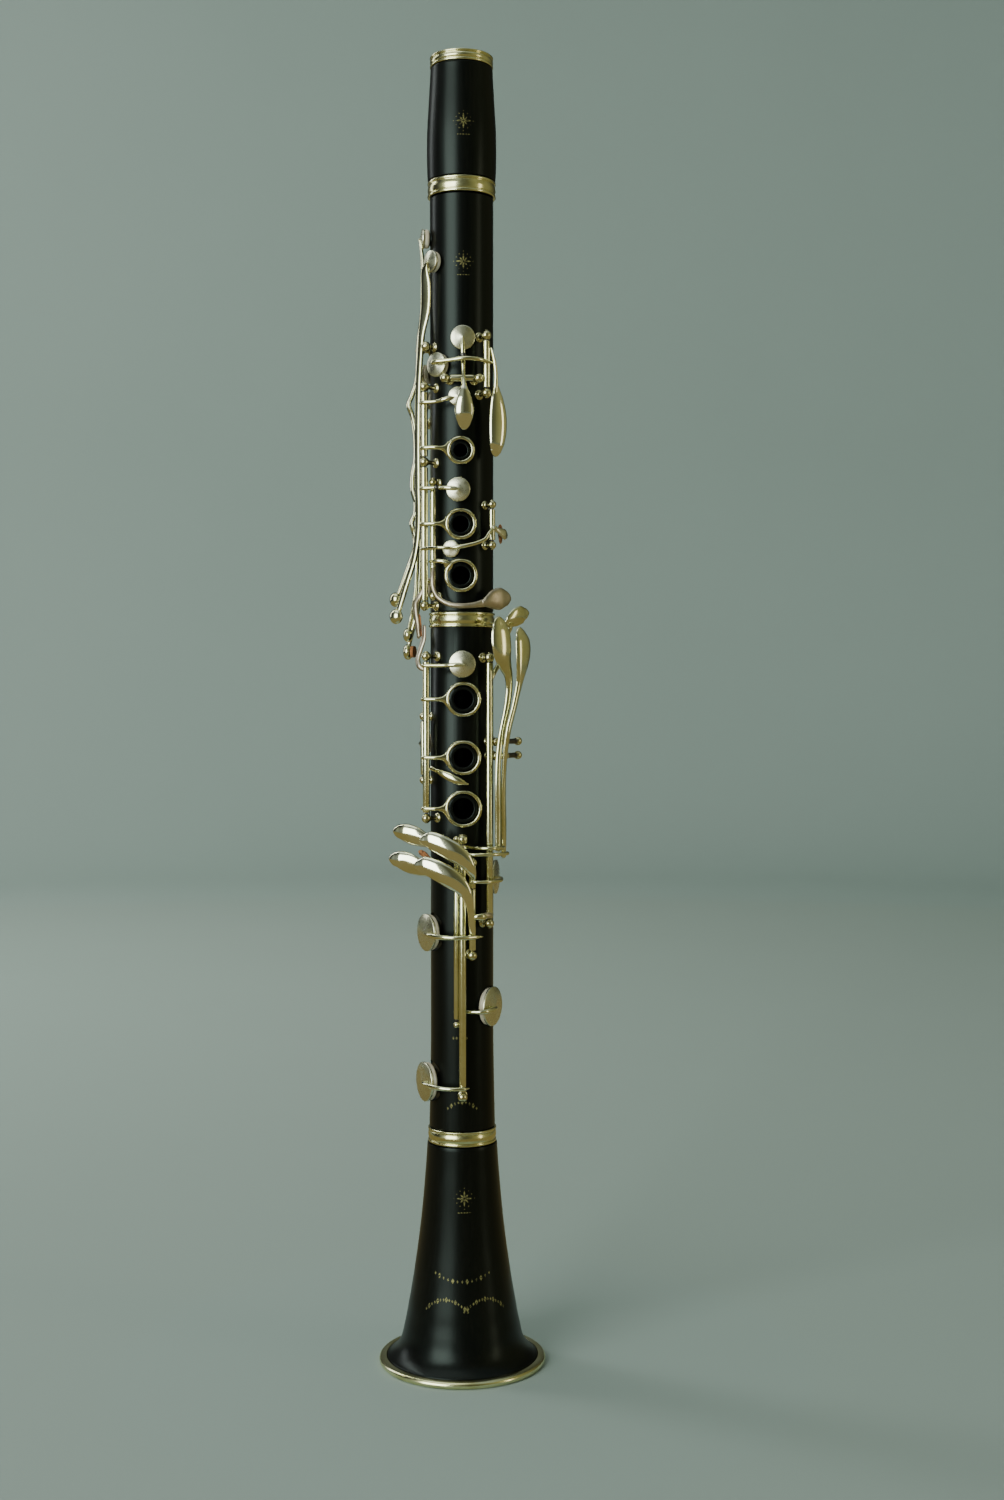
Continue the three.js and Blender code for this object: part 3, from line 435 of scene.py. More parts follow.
def leaf_strip(points, widths, heights, face, ends=(0.5, 0.9), material="spoons", belly=0.45):
    """Broad touch for a fingertip."""
    return blade(points, widths, heights, material, face, belly, 8, 20, ends)


def finger_ring(phi, x, z, inner, outer):
    """Ring that stands round a tone hole, rounded outside with a fine step inside."""
    seat = out(phi) * 15.95 + V(x, 0, z)
    profile = [
        (inner, 0.15), (inner + 0.2, 0), (outer - 0.4, 0), (outer, 0.35), (outer + 0.05, 0.9),
        (outer - 0.35, 1.4), (outer - 0.75, 1.62), (inner + 0.42, 1.62), (inner + 0.12, 1.42), (inner, 1.1),
    ]
    return lathe(eased(profile, 0.12, True), seat, out(phi), "keys", 56, True)


def cup(phi, z, radius, seat=None, cone=1.05, sunk=0.0):
    """Pad cup: a shallow spun cone with a turned rim and a small point in the middle."""
    base = P(phi, (wood_r(z) + 2.75 - sunk) if seat is None else seat, z)
    profile = [
        (0, 0.1), (radius - 0.35, 0.1), (radius - 0.3, 0), (radius, 0.05), (radius + 0.06, 0.45),
        (radius, 0.86), (radius - 0.28, 0.98), (radius * 0.6, 0.95 + cone * 0.36),
        (radius * 0.25, 0.95 + cone * 0.74), (0.3, 0.95 + cone), (0, 1.0 + cone),
    ]
    return lathe(profile, base, out(phi), "cups", 56)


def pad_disc(phi, z, radius, lift=0.4, height=2.3, seat=None):
    base = P(phi, (wood_r(z) if seat is None else seat) + lift, z)
    profile = [
        (0, 0.02), (radius - 1.5, 0.02), (radius - 1.1, 0.12), (radius - 0.75, 0), (radius - 0.4, 0.12),
        (radius - 0.08, 0.5), (radius, 1), (radius - 0.06, height - 0.5), (radius - 0.3, height), (0, height),
    ]
    return lathe(profile, base, out(phi), "pad", 44)


def post(centre, radius):
    """Turned post: a flange on the wood, a waisted neck and a ball."""
    seat = wood_r(centre.z) - 0.12
    d = radial(centre)
    reach = math.hypot(centre.x, centre.y) - seat
    flange = min(radius * 1.02, 2.2)
    neck_top = max(reach - radius * 0.8, 1.15)
    profile = [
        (0, 0), (flange, 0), (flange + 0.08, 0.25), (flange - 0.02, 0.62), (flange - 0.5, 0.86), (1.25, 0.98),
        (1, 1.12 + 0.2 * (neck_top - 1.15)), (0.98, neck_top - 0.3 * (neck_top - 1.15)), (1.25, neck_top),
        (1.3, neck_top + 0.4), (0, neck_top + 0.5),
    ]
    base = d * seat + V(0, 0, centre.z)
    return [lathe(profile, base, d, "posts", 28), ball(centre, radius, "posts", d)]


def slot_screw(centre, direction, radius, height, material="steel"):
    """Domed screw head with a slot across it: two halves and a floor."""
    direction = direction.normalized()
    across = direction.orthogonal().normalized()
    along = direction.cross(across)
    parts = [lathe([(0, -0.3), (radius * 0.96, -0.3), (radius * 0.96, 0), (0, 0)], centre, direction, material,
        20)]
    for sign in (1, -1):
        verts, faces = [], []
        ring = []
        for k in range(9):
            a = math.asin(0.16) + (math.pi - 2 * math.asin(0.16)) * k / 8
            ring.append((radius * math.cos(a), sign * radius * math.sin(a)))
        for scale, h in ((1.0, 0.0), (1.0, height * 0.55), (0.82, height)):
            for u, w in ring:
                w = w * scale if abs(w) * scale > radius * 0.16 else sign * radius * 0.16
                verts.append(centre + along * (u * scale) + across * w + direction * h)
        n = len(ring)
        for j in range(2):
            for k in range(n):
                m = (k + 1) % n
                faces.append([j * n + k, j * n + m, (j + 1) * n + m, (j + 1) * n + k])
        faces.append(list(range(2 * n, 3 * n)))
        faces.append(list(range(n)))
        parts.append((verts, faces, material))
    return parts


def moved(part, matrix):
    verts, faces, material = part
    return ([matrix @ v for v in verts], faces, material)


def swung(parts, pivot, degrees):
    """Parts turned about an upright pivot."""
    place = Matrix.Translation(V(pivot.x, pivot.y, 0))
    matrix = place @ Matrix.Rotation(math.radians(degrees), 4, "Z") @ place.inverted()
    return [moved(part, matrix) for part in parts]


def flat_parts(parts):
    result = []
    for part in parts:
        if isinstance(part, list):
            result += flat_parts(part)
        else:
            result.append(part)
    return result


def build(name, body, parts, nodes, sharp=62):
    """One object from mesh parts, riding on a body and standing for CAD nodes."""
    mesh = bpy.data.meshes.new(name)
    form = bmesh.new()
    names = []
    for verts, faces, material in flat_parts(parts):
        if material not in names:
            names.append(material)
        made = [form.verts.new(v * MM) for v in verts]
        for face in faces:
            try:
                f = form.faces.new([made[i] for i in face])
            except ValueError:
                continue
            f.smooth = True
            f.material_index = names.index(material)
    bmesh.ops.recalc_face_normals(form, faces=form.faces)
    form.to_mesh(mesh)
    form.free()
    for material in names:
        mesh.materials.append(MATERIALS[material])
    mesh.set_sharp_from_angle(angle=math.radians(sharp))
    piece = bpy.data.objects.new(name, mesh)
    bpy.context.scene.collection.objects.link(piece)
    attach(piece, body)
    if nodes:
        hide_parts(*nodes)
    return piece


def key(name, body, metal, pad=None, pad_node=None, bumper=None):
    """A key's plated metal, its pad and its cork bumper, all riding on the key's body."""
    build(name + "_metal", body, metal, [body])
    if pad:
        build(name + "_pad", body, [pad], [pad_node] if pad_node else ())
    if bumper:
        build(name + "_cork", body, [bumper], ())


def hinge(name, node, balls, radius, pin=ROD_R, extra=()):
    """Posts with the pivot rod between them and a slotted head on its outer ends."""
    parts = [tube(balls[0], balls[-1], pin, "steel", 16)]
    for centre in balls:
        parts.append(post(centre, radius))
    axis = (balls[-1] - balls[0]).normalized()
    for centre, outward in ((balls[0], -axis), (balls[-1], axis)):
        parts.append(slot_screw(centre + outward * (radius - 0.22), outward, 0.8, 0.3, "posts"))
    parts += list(extra)
    build(name, "body", parts, [node])


# ---- wooden bodies
WOOD_SIDES = 128
WOOD_SHARP = 35  # degrees from which an edge of the drilled wood stays sharp


def curve_profile(points, per):
    """A smooth profile through [radius, height] points."""
    return [(p.x, p.y) for p, _ in route([V(r, z, 0) for r, z in points], per)]


def drilled(part, cutters, name, node):
    """A turned wooden body with its tone holes and the flats of its large pads cut into it."""
    piece = build(name, "body", [part], [node], WOOD_SHARP)
    tool = build(name + "_tool", "body", cutters, ())
    modifier = piece.modifiers.new("holes", "BOOLEAN")
    modifier.object = tool
    modifier.operation = "DIFFERENCE"
    modifier.solver = "EXACT"
    modifier.use_self = True
    bpy.context.view_layer.update()
    cut = bpy.data.meshes.new_from_object(piece.evaluated_get(bpy.context.evaluated_depsgraph_get()))
    piece.modifiers.clear()
    old = piece.data
    piece.data = cut
    cut.name = name
    bpy.data.meshes.remove(old)
    bpy.data.objects.remove(tool)
    cut.set_sharp_from_angle(angle=math.radians(WOOD_SHARP))


def bore_cut(phi, z, radius, low=5.0, high=17.5, x=0):
    """Cutter for a hole from the outside towards the bore."""
    return lathe([(0, low), (radius, low), (radius, high), (0, high)], V(x, 0, z), out(phi), "wood", 40)


CHIMNEY_TOP = 15.7  # distance of a ringed hole's rim from the bore axis


def chimney(phi, x, z, radius, hole):
    """Raised rim of a ringed tone hole, rounded where the fingertip seats."""
    profile = eased([(hole, -4.4), (radius, -4.4), (radius, 0), (hole, 0)], 0.35, True)
    return lathe(profile, out(phi) * CHIMNEY_TOP + V(x, 0, z), out(phi), "wood", 48, True)


def seat_rim(phi, z, hole, sunk=0.0):
    """Small raised lip that a pad closes on."""
    profile = eased([(hole, -1.2), (hole + 1.5, -1.2), (hole + 0.9, 0.12), (hole + 0.35, 0.28), (hole, 0.2)],
        0.12, True)
    return lathe(profile, P(phi, wood_r(z) - sunk, z), out(phi), "wood", 44, True)


# Tone holes: x, z, rim radius and hole radius under rings; phi, z and hole radius under pads, and the
# flat's radius too under seated pads.
UPPER_RINGS = [(-0.5, 415.1, 4, 2.9), (-0.5, 382.4, 4.8, 3.6), (-0.4, 359.5, 5.2, 4)]
LOWER_RINGS = [(0.6, 304.2, 5.75, 4.3), (0.6, 278.1, 5.75, 4.3), (0.6, 255.2, 6.2, 4.7)]
UPPER_PADS = [(1.6, 464.7, 2.6), (-40, 453.4, 2.6), (-4.5, 438.6, 2), (-3.8, 397.5, 2.6), (-80, 355, 2.4),
    (-17, 371.3, 1.8), (-84, 511.6, 2.1), (-53, 499.6, 2.4), (-108, 452, 2.2), (-129, 441, 2.1)]
LOWER_PADS = [(1.6, 319.9, 3.0), (-115, 284, 2.4)]
SEATED_PADS = [(*E_B_PAD, 5.6, 9.1), (*F_SHARP_PAD, 5.4, 9.1), (*F_C_PAD, 5.2, 8.6), (*A_FLAT_PAD, 4.8, 7.9)]


def tone_rims(name, pads, rings, seated=()):
    parts = [seat_rim(phi, z, hole) for phi, z, hole in pads]
    parts += [seat_rim(phi, z, hole, SUNK) for phi, z, hole, _ in seated]
    parts += [chimney(0, x, z, radius, hole) for x, z, radius, hole in rings]
    build(name, "body", parts, ())


def wooden_bodies():
    bell_out = curve_profile([
        (34.3, 3.5), (32.9, 4.4), (30.6, 6.6), (28.9, 9.2), (27.65, 12.2), (26.3, 18.3), (25.35, 22.9),
        (24.55, 27.6), (22.9, 36.9), (21.5, 46.1), (20.15, 55.5), (19, 64.8), (18.05, 74), (17.25, 83.2),
        (16.5, 92.5), (15.95, 101.3),
    ], 6)
    bell_in = curve_profile([(8, 90), (9.6, 70), (12.5, 45), (17.5, 25), (23.5, 11), (29.5, 2.2), (31.5, 0.6)],
        8)
    profile = bell_out + [(15.85, 101.6), (13.9, 101.7), (13.9, 108.7), (SOCKET_R, 108.7), (SOCKET_R, 91.2),
        (8, 91)] + bell_in
    profile += [(33.8, 0.45), (34.45, 0.7), (34.45, 3.2)]
    build("bell_wood", "body", [lathe(profile, ORIGIN, UP, "wood", 144, True)], ["bell_body"], 32)

    lower = [
        (TENON_R, 91.9), (TENON_R, 94.5), (CORK_BED_R, 94.5), (CORK_BED_R, 106.1), (TENON_R, 106.1),
        (TENON_R, 109.1), (14.75, 109.1), (15, 109.45), (14.85, 117), (14.7, 124), (14.5, 137),
        (WOOD_R, FLARE_TOP), (WOOD_R, 250), (WOOD_R, 336.1), (14.1, 336.4), (13.9, 336.4), (13.9, 343.4),
        (SOCKET_R, 343.4), (SOCKET_R, 325.4), (BORE_R, 325.4), (BORE_R, 91.9),
    ]
    cuts = [bore_cut(phi, z, hole) for phi, z, hole in LOWER_PADS]
    for phi, z, hole, flat in SEATED_PADS:
        floor = wood_r(z) - SUNK
        profile = [(0, 5), (hole, 5), (hole, floor), (flat - 0.25, floor), (flat, floor + 0.25),
            (flat + 0.6, 18), (0, 18)]
        cuts.append(lathe(profile, V(0, 0, z), out(phi), "wood", 56))
    cuts += [bore_cut(0, z, hole, 2, 18, x) for x, z, _, hole in LOWER_RINGS]
    drilled(lathe(lower, ORIGIN, UP, "wood", WOOD_SIDES, True), cuts, "lower_joint_wood", "lower_joint_body")
    tone_rims("lower_tone_holes", LOWER_PADS, LOWER_RINGS, SEATED_PADS)

    upper = [
        (TENON_R, 326.4), (TENON_R, 329.1), (CORK_BED_R, 329.1), (CORK_BED_R, 340.7), (TENON_R, 340.7),
        (TENON_R, 343.7), (14.05, 343.7), (WOOD_R, 344), (WOOD_R, 430), (WOOD_R, 529.3), (14.05, 529.6),
        (TENON_R, 529.6), (TENON_R, 532.7), (CORK_BED_R, 532.7), (CORK_BED_R, 544.3), (TENON_R, 544.3),
        (TENON_R, 547), (BORE_R, 547), (BORE_R, 326.4),
    ]
    cuts = [bore_cut(phi, z, hole) for phi, z, hole in UPPER_PADS]
    cuts += [bore_cut(0, z, hole, 2, 18, x) for x, z, _, hole in UPPER_RINGS]
    cuts += [bore_cut(BACK, THUMB_Z, 5.0, 2), bore_cut(BACK, REGISTER_Z, 2.7, 2)]
    drilled(lathe(upper, ORIGIN, UP, "wood", WOOD_SIDES, True), cuts, "upper_joint_wood", "upper_joint_body")
    tone_rims("upper_tone_holes", UPPER_PADS, UPPER_RINGS)

    outer = curve_profile([(15.3, 537.6), (15.55, 543), (15.65, 551), (15.55, 559), (15.15, 567), (14.6, 576),
        (14.1, 585), (14, 587.4)], 6)
    profile = [(13.9, 530.1), (13.9, 537.4), (15.1, 537.4)] + outer + [
        (13.8, 587.7), (12.95, 587.7), (12.95, 592.6), (12.7, 592.85), (11.5, 592.85), (TENON_R, 592.6),
        (TENON_R, 577.9), (BORE_R, 577.9), (BORE_R, 548), (SOCKET_R, 548), (SOCKET_R, 530.1),
    ]
    build("barrel_wood", "barrel", [lathe(profile, ORIGIN, UP, "wood", WOOD_SIDES, True)], ["barrel_body"],
        32)


def turned_ring(name, body, node, bottom, height, radius, inner, bead=0.55):
    """Plated ring with a bead at each edge, a groove beside each and a crowned band between."""
    h = height
    profile = [
        (inner, 0.1), (radius - 0.25, 0.05), (radius, 0.3), (radius + 0.02, bead + 0.3),
        (radius - 0.1, bead + 0.62), (radius - 0.5, bead + 0.72), (radius - 0.52, bead + 1),
        (radius - 0.3, bead + 1.1), (radius - 0.06, h * 0.42), (radius - 0.02, h * 0.5),
        (radius - 0.06, h * 0.58), (radius - 0.3, h - bead - 1.1), (radius - 0.52, h - bead - 1),
        (radius - 0.5, h - bead - 0.72), (radius - 0.1, h - bead - 0.62), (radius + 0.02, h - bead - 0.3),
        (radius, h - 0.3), (radius - 0.25, h - 0.05), (inner, h - 0.1),
    ]
    build(name, body, [lathe(eased(profile, 0.1, True), V(0, 0, bottom), UP, "rings", 128, True)], [node],
        50)


def plated_rings():
    turned_ring("bell_collar", "body", "bell_socket_ring", 102.0, 6.8, 15.6, 14.0)
    turned_ring("middle_collar", "body", "middle_socket_ring", 336.7, 6.7, 14.95, 14.0)
    turned_ring("barrel_collar", "barrel", "barrel_bottom_ring", 530.0, 7.0, 15.4, 14.0)
    turned_ring("barrel_mouth_ring", "barrel", "barrel_top_ring", 588.0, 4.9, 14.25, 13.1, 0.35)
    rim = [
        (34.6, 0.15), (35.2, 0), (37, 0), (37.7, 0.25), (38.15, 0.85), (38.3, 1.6), (38.1, 2.4), (37.5, 3),
        (36.6, 3.3), (35.6, 3.36), (34.9, 3.3), (34.6, 3),
    ]
    build("bell_rim", "body", [lathe(eased(rim, 0.2, True), ORIGIN, UP, "rings", 160, True)], ["bell_rim_ring"],
        50)
    for node in ("lower_tenon_cork", "middle_tenon_cork", "top_tenon_cork"):
        materials = frame["nodes"][node].data.materials
        materials.clear()
        materials.append(MATERIALS["cork"])


# ---- upper joint keys
def screw_ball(centre, facing, radius):
    """Adjusting screw: a dark ball with a slotted head."""
    return [ball(centre, radius, "steel", facing),
        slot_screw(centre + facing * (radius - 0.35), facing, 0.8, 0.35)]


def a_key():
    z, h = 446.5, 19
    hinge("a_key_posts", "a_key_hinge", [F(0, -7.4, h, z), F(0, 7.6, h, z)], 2.15)
    stem = blade(
        [V(0.45, -18.9, 465), V(0.5, -19.3, 460.5), V(0.6, -19.4, 456), V(0.7, -19.9, 450),
         V(0.85, -21.3, 445.4), V(1, -22.9, 442.4)],
        [0.25, 1, 1.15, 0.95, 0.95, 1.3], [0.5, 0.8, 1, 1, 0.95, 0.9])
    leaf = leaf_strip(
        [V(0.95, -22.6, 443.6), V(1, -23.5, 441), V(1.05, -24.1, 437), V(1.1, -24.2, 432.5),
         V(1.1, -23.7, 428.6), V(1.1, -22.8, 425.6)],
        [0.7, 1.9, 3.3, 4.15, 3.75, 2.7], [0.7, 1.1, 1.5, 1.6, 1.4, 1], FRONT)
    parts = [cup(1.6, 464.7, 5.4), stem, leaf, tube(F(0, -4.9, h, z), F(0, 5.1, h, z), 1.6),
        screw_ball(V(0.7, -20.6, 456.3), FRONT, 1.25)]
    key("a_key", "a_key", parts, pad_disc(1.6, 464.7, 5.15), "a_pad")


def g_sharp_key():
    line = rail(32.6, 20.4)
    hinge("g_sharp_posts", "g_sharp_hinge", [line(440.2), line(465.7)], 2.2)
    tip = P(-40, 18.8, 453.4)
    arm = blade(
        [V(13.2, -17.3, 453.6), V(10.6, -19.6, 454), V(6, -22.6, 454.4), V(0.7, -23.2, 454.5),
         V(-5.5, -21.2, 454), tip * 0.5 + V(-7, -10.1, 227), V(-12.4, -14.4, 453.3)],
        [0.5, 0.85, 0.95, 1, 0.95, 1.1, 0.2], [0.7, 1, 1, 0.9, 0.9, 0.75, 0.35])
    link = blade(
        [P(36, 21.6, 460), P(40, 22.3, 454), P(42, 22.6, 448), P(42.6, 22.5, 443.4), P(43, 22.6, 440)],
        [0.35, 0.75, 0.9, 1.2, 2], [1.1, 1.2, 1.1, 1, 1])
    leaf = leaf_strip(
        [P(42.8, 22.4, 443), P(43.2, 22.9, 438), P(43.8, 23.2, 431), P(44.2, 23.1, 424), P(44, 22.6, 418),
         P(43.6, 22, 414.4)],
        [1.5, 2.9, 4.1, 4.2, 3.5, 2.5], [0.9, 1.2, 1.5, 1.5, 1.2, 0.9], out(22))
    parts = [cup(-40, 453.4, 5.3), arm, link, leaf, tube(line(442.7), line(463.2), 1.6)]
    key("g_sharp_key", "g_sharp_key", parts, pad_disc(-40, 453.4, 5.1), "g_sharp_pad")


def ring_arm(line, z, ring_x, ring_r, ring_z=None):
    """Arm from a rail to a finger ring: a narrow strip that spreads like a horn where it meets the ring."""
    ring_z = z if ring_z is None else ring_z
    s = line(z)
    edge = ring_x - ring_r
    front = V(s.x, s.y, 0).normalized()
    points = [
        s - side(-50) * 2.1 + front * 0.3, s + front * 1.75, V((s.x + edge) / 2 - 0.6, -16.75, z),
        V(edge - 2.6, -16.95, z + (ring_z - z) * 0.4), V(edge - 0.9, -16.85, z + (ring_z - z) * 0.8),
        V(edge + 0.55, -16.75, ring_z),
    ]
    return arm_strip(points, [0.55, 0.95, 0.9, 1, 1.7, 3.3], [0.8, 1, 0.95, 0.75, 0.6, 0.55], ends=(1.4, 0.2))


def cup_arm(line, z, tip, height):
    """Spear-shaped arm from a rail over the wood to the middle of a cup."""
    s = line(z)
    front = V(s.x, s.y, 0).normalized()
    reach = tip.x - s.x
    points = [
        s - side(-50) * 2.1 + front * 0.3, s + front * 1.75, V(s.x + reach * 0.42, -17.3, z),
        V(s.x + reach * 0.68, -height + 0.7, z + (tip.z - z) * 0.4),
        V(s.x + reach * 0.86, -height + 0.1, z + (tip.z - z) * 0.8), tip,
    ]
    return arm_strip(points, [0.5, 0.9, 0.85, 1, 1, 0.16], [0.8, 1, 1, 0.9, 0.7, 0.3], ends=(1.4, 0.3))


def upper_ring_keys():
    line = rail(-52.7, 21)
    hinge("upper_rail_posts", "upper_ring_hinge", [line(443.6), line(410.2), line(346.1)], 2.15)
    open_by = -RING_TRAVEL
    vent = swung([cup(-4.5, 438.6, 4.2, None, 0.9), pad_disc(-4.5, 438.6, 3.9)], line(0), open_by)
    parts = [
        finger_ring(0, -0.5, 415.1, 4.65, 6.35), ring_arm(line, 416.2, -0.5, 6.2, 415.6), vent[0],
        cup_arm(line, 436.4, V(-3.6, -20.6, 438), 20.2), tube(line(412.7), line(441.1), 1.6),
    ]
    key("first_ring_key", "lh1_ring_key", parts, vent[1])

    pad = swung([cup(-3.8, 397.5, 5.35), pad_disc(-3.8, 397.5, 5.05)], line(0), open_by)
    arch = arm_strip(
        [line(371.5) - side(-50) * 2 + out(-52) * 0.4, line(371.5) + out(-45) * 1.7, V(-13.2, -18.8, 371.5),
         V(-9.8, -21.6, 371.4), V(-5.4, -22.3, 371.2), V(-4.2, -21.9, 371.2)],
        [0.5, 0.85, 0.8, 0.75, 0.75, 0.25], [0.8, 0.9, 0.8, 0.8, 0.7, 0.3], "keys", 0.8, 14, (1.2, 0.5))
    bridge = arm_strip(
        [P(-52, 21.9, 353), P(-56, 23, 350.2), P(-61, 23.7, 347.6), P(-62, 23.6, 344), P(-60.5, 23, 338),
         P(-59.4, 22.6, 332)],
        [0.9, 1.5, 1.7, 1.7, 1.6, 1.1], [0.7, 0.9, 1, 1, 0.9, 0.6], "worn_plate", 0.9, 14, (0.6, 0.6))
    parts = [
        finger_ring(0, -0.5, 382.4, 5.45, 7.1), ring_arm(line, 382.4, -0.5, 6.95), pad[0],
        cup_arm(line, 398.3, V(-0.9, -20.7, 397.6), 20.3), arch, bridge, tube(line(348.5), line(407.7), 1.6),
        screw_ball(V(-11.3, -17.9, 398.3), out(-30), 1.15),
    ]
    key("second_ring_key", "lh2_ring_key", parts, pad[1])
    build("bridge_cork", "lh2_ring_key",
        [cork_strip([P(-60, 22.1, 341.5), P(-59.6, 21.8, 337), P(-59, 21.6, 333)], [1.2, 1.4, 1],
            [0.5, 0.55, 0.4])], ())


def third_ring_and_c_sharp():
    line = rail(-45.5, 17.9)
    hinge("inner_rail_posts", "lh3_hinge", [line(401.1), line(350.4)], 1.9)
    arm = arm_strip(
        [V(-14.2, -12.4, 365.8), V(-12.6, -14.3, 365.9), V(-10, -16.2, 365.9), V(-7.4, -16.9, 365.2),
         V(-6, -16.9, 364), V(-4.8, -16.8, 363.4)],
        [0.6, 0.95, 1, 1.15, 1.9, 2.8], [0.8, 0.95, 0.85, 0.7, 0.6, 0.5], ends=(1.2, 0.2))
    parts = [finger_ring(0, -0.4, 359.5, 5.9, 7.5), arm, tube(line(364.4), line(398.9), 1.4)]
    key("third_ring_key", "lh3_ring_key", parts)

    sweep = blade(
        [V(-12.9, -14.1, 362.4), V(-13.1, -15.6, 359), V(-12.8, -16.4, 354), V(-10.7, -16.9, 349.7),
         V(-5.9, -18, 346.7), V(-0.4, -18.7, 345.9), V(5.5, -18.1, 346.3), V(10.6, -16.2, 347.4)],
        [0.9, 0.95, 0.95, 1, 1.1, 1.15, 1.3, 1.9], [0.8, 0.85, 0.85, 0.85, 0.9, 0.9, 0.9, 1], "worn_plate",
        None, 0.8, 8, 16, (0.8, 0.4))
    button = leaf_strip(
        [V(9.4, -16.9, 347), V(11.6, -16.1, 347.8), V(14.2, -14.6, 348.7), V(17.4, -12.3, 349.4),
         V(20.2, -10, 349.6)],
        [1.6, 3, 4.5, 4.9, 3.4], [0.9, 1.2, 1.5, 1.5, 1], out(48), (0.4, 0.7), "worn_plate", 0.45)
    pad_arm = blade(
        [line(357) + out(-45) * 0.4, P(-58, 18.2, 357), P(-70, 18.6, 356.2), P(-80, 18.9, 355)],
        [0.9, 0.9, 0.9, 0.2], [0.9, 0.8, 0.7, 0.4])
    parts = [sweep, button, pad_arm, cup(-80, 355, 4.65), tube(line(353), line(364.2), 1.4)]
    key("c_sharp_key", "c_sharp_key", parts, pad_disc(-80, 355, 4.4))


def sliver_key():
    line = rail(45.5, 18.9)
    hinge("cross_key_posts", "e_flat_sliver_hinge", [line(391.3), line(373.2)], 1.9)
    arm = arm_strip(
        [line(381) + out(30) * 0.9, V(12.2, -16.2, 378.4), V(10.6, -17.2, 375.8), V(7.2, -18.1, 374),
         V(2.2, -18.7, 372.6), V(-2.5, -18.4, 371.8), V(-5.6, -17.7, 371.2)],
        [0.8, 0.9, 0.9, 0.85, 0.95, 0.9, 0.15], [0.8, 0.9, 0.9, 0.85, 0.8, 0.7, 0.3], belly=0.8,
        ends=(0.8, 0.3))
    plate = blade(
        [P(45.5, 20.2, 381), P(49, 20.8, 380), P(56, 21.3, 379), P(62, 21.7, 378.3), P(67, 21.6, 378)],
        [1.2, 1.3, 1.9, 2.4, 1.9], [0.8, 0.9, 0.9, 0.85, 0.6], "cups", None, 0.7)
    parts = [cup(-17, 371.3, 3.85, 16.05, 0.7), arm, plate, tube(line(375.5), line(389), 1.45)]
    bumper = cork_strip([P(60, 19.9, 381.5), P(61, 19.8, 378.2), P(61.5, 19.8, 375.2)], [1.6, 2.2, 1.4],
        [0.6, 0.7, 0.5])
    key("cross_key", "e_flat_sliver_key", parts, pad_disc(-17, 371.3, 3.5, 0.4, 1.35), bumper=bumper)


def register_and_thumb():
    z, h = 457, 18.4
    hinge("register_posts", "register_hinge", [F(BACK, -6.2, h, z), F(BACK, 6.2, h, z)], 2.1)
    stem = blade(
        back((20.3, 481), (20.5, 474), (20.4, 466), (20.4, 457), (21.7, 451), (22.8, 448)),
        [0.3, 1.1, 1.1, 1.2, 1.4, 1.8], [0.5, 0.9, 0.9, 0.9, 0.9, 0.9])
    leaf = leaf_strip(
        back((22.6, 450.5), (23, 447), (23, 442), (22.4, 437), (21.6, 434)),
        [1.2, 2.9, 4.1, 3.6, 1.8], [0.8, 1.2, 1.4, 1.2, 0.8], out(BACK))
    parts = [cup(BACK, REGISTER_Z, 4.25, 19.0, 0.8), stem, leaf,
        tube(F(BACK, -3.8, h, z), F(BACK, 3.8, h, z), 1.5)]
    key("register_key", "register_key", parts, pad_disc(BACK, REGISTER_Z, 3.9, 0.4, 1.7, 16.8))
    vent = eased([(1.3, 6.5), (2.3, 6.5), (2.3, 14.4), (2.9, 14.4), (2.9, 15.2), (2.3, 15.4), (2, 16.8),
        (1.3, 16.8)], 0.15, True)
    build("register_vent", "body", [lathe(vent, V(0, 0, REGISTER_Z), out(BACK), "posts", 32, True)],
        ["register_tube"])

    line = rail(-142, 18.5)
    hinge("thumb_ring_posts", "thumb_ring_hinge", [line(405), line(433)], 1.9)
    arm = arm_strip(
        [line(THUMB_Z) - side(-142) * 1.6, line(THUMB_Z) + out(-142) * 1.5, V(-10, 16.9, THUMB_Z),
         V(-7.8, 16.9, THUMB_Z), V(-6.4, 16.8, THUMB_Z)],
        [0.6, 0.95, 1, 1.7, 3.2], [0.8, 0.9, 0.75, 0.6, 0.5], ends=(1.2, 0.2))
    ring = finger_ring(BACK, 0, THUMB_Z, 6.0, 7.7)
    key("thumb_ring_key", "thumb_ring_key", [ring, arm, tube(line(407.6), line(430.4), 1.4)])
    bush = eased([(3.7, 8.6), (4.6, 8.6), (4.6, 15.3), (4.2, 15.7), (3.7, 15.6)], 0.2, True)
    build("thumb_bush", "body", [lathe(bush, V(0, 0, THUMB_Z), out(BACK), "posts", 40, True)], ["thumb_tube"])


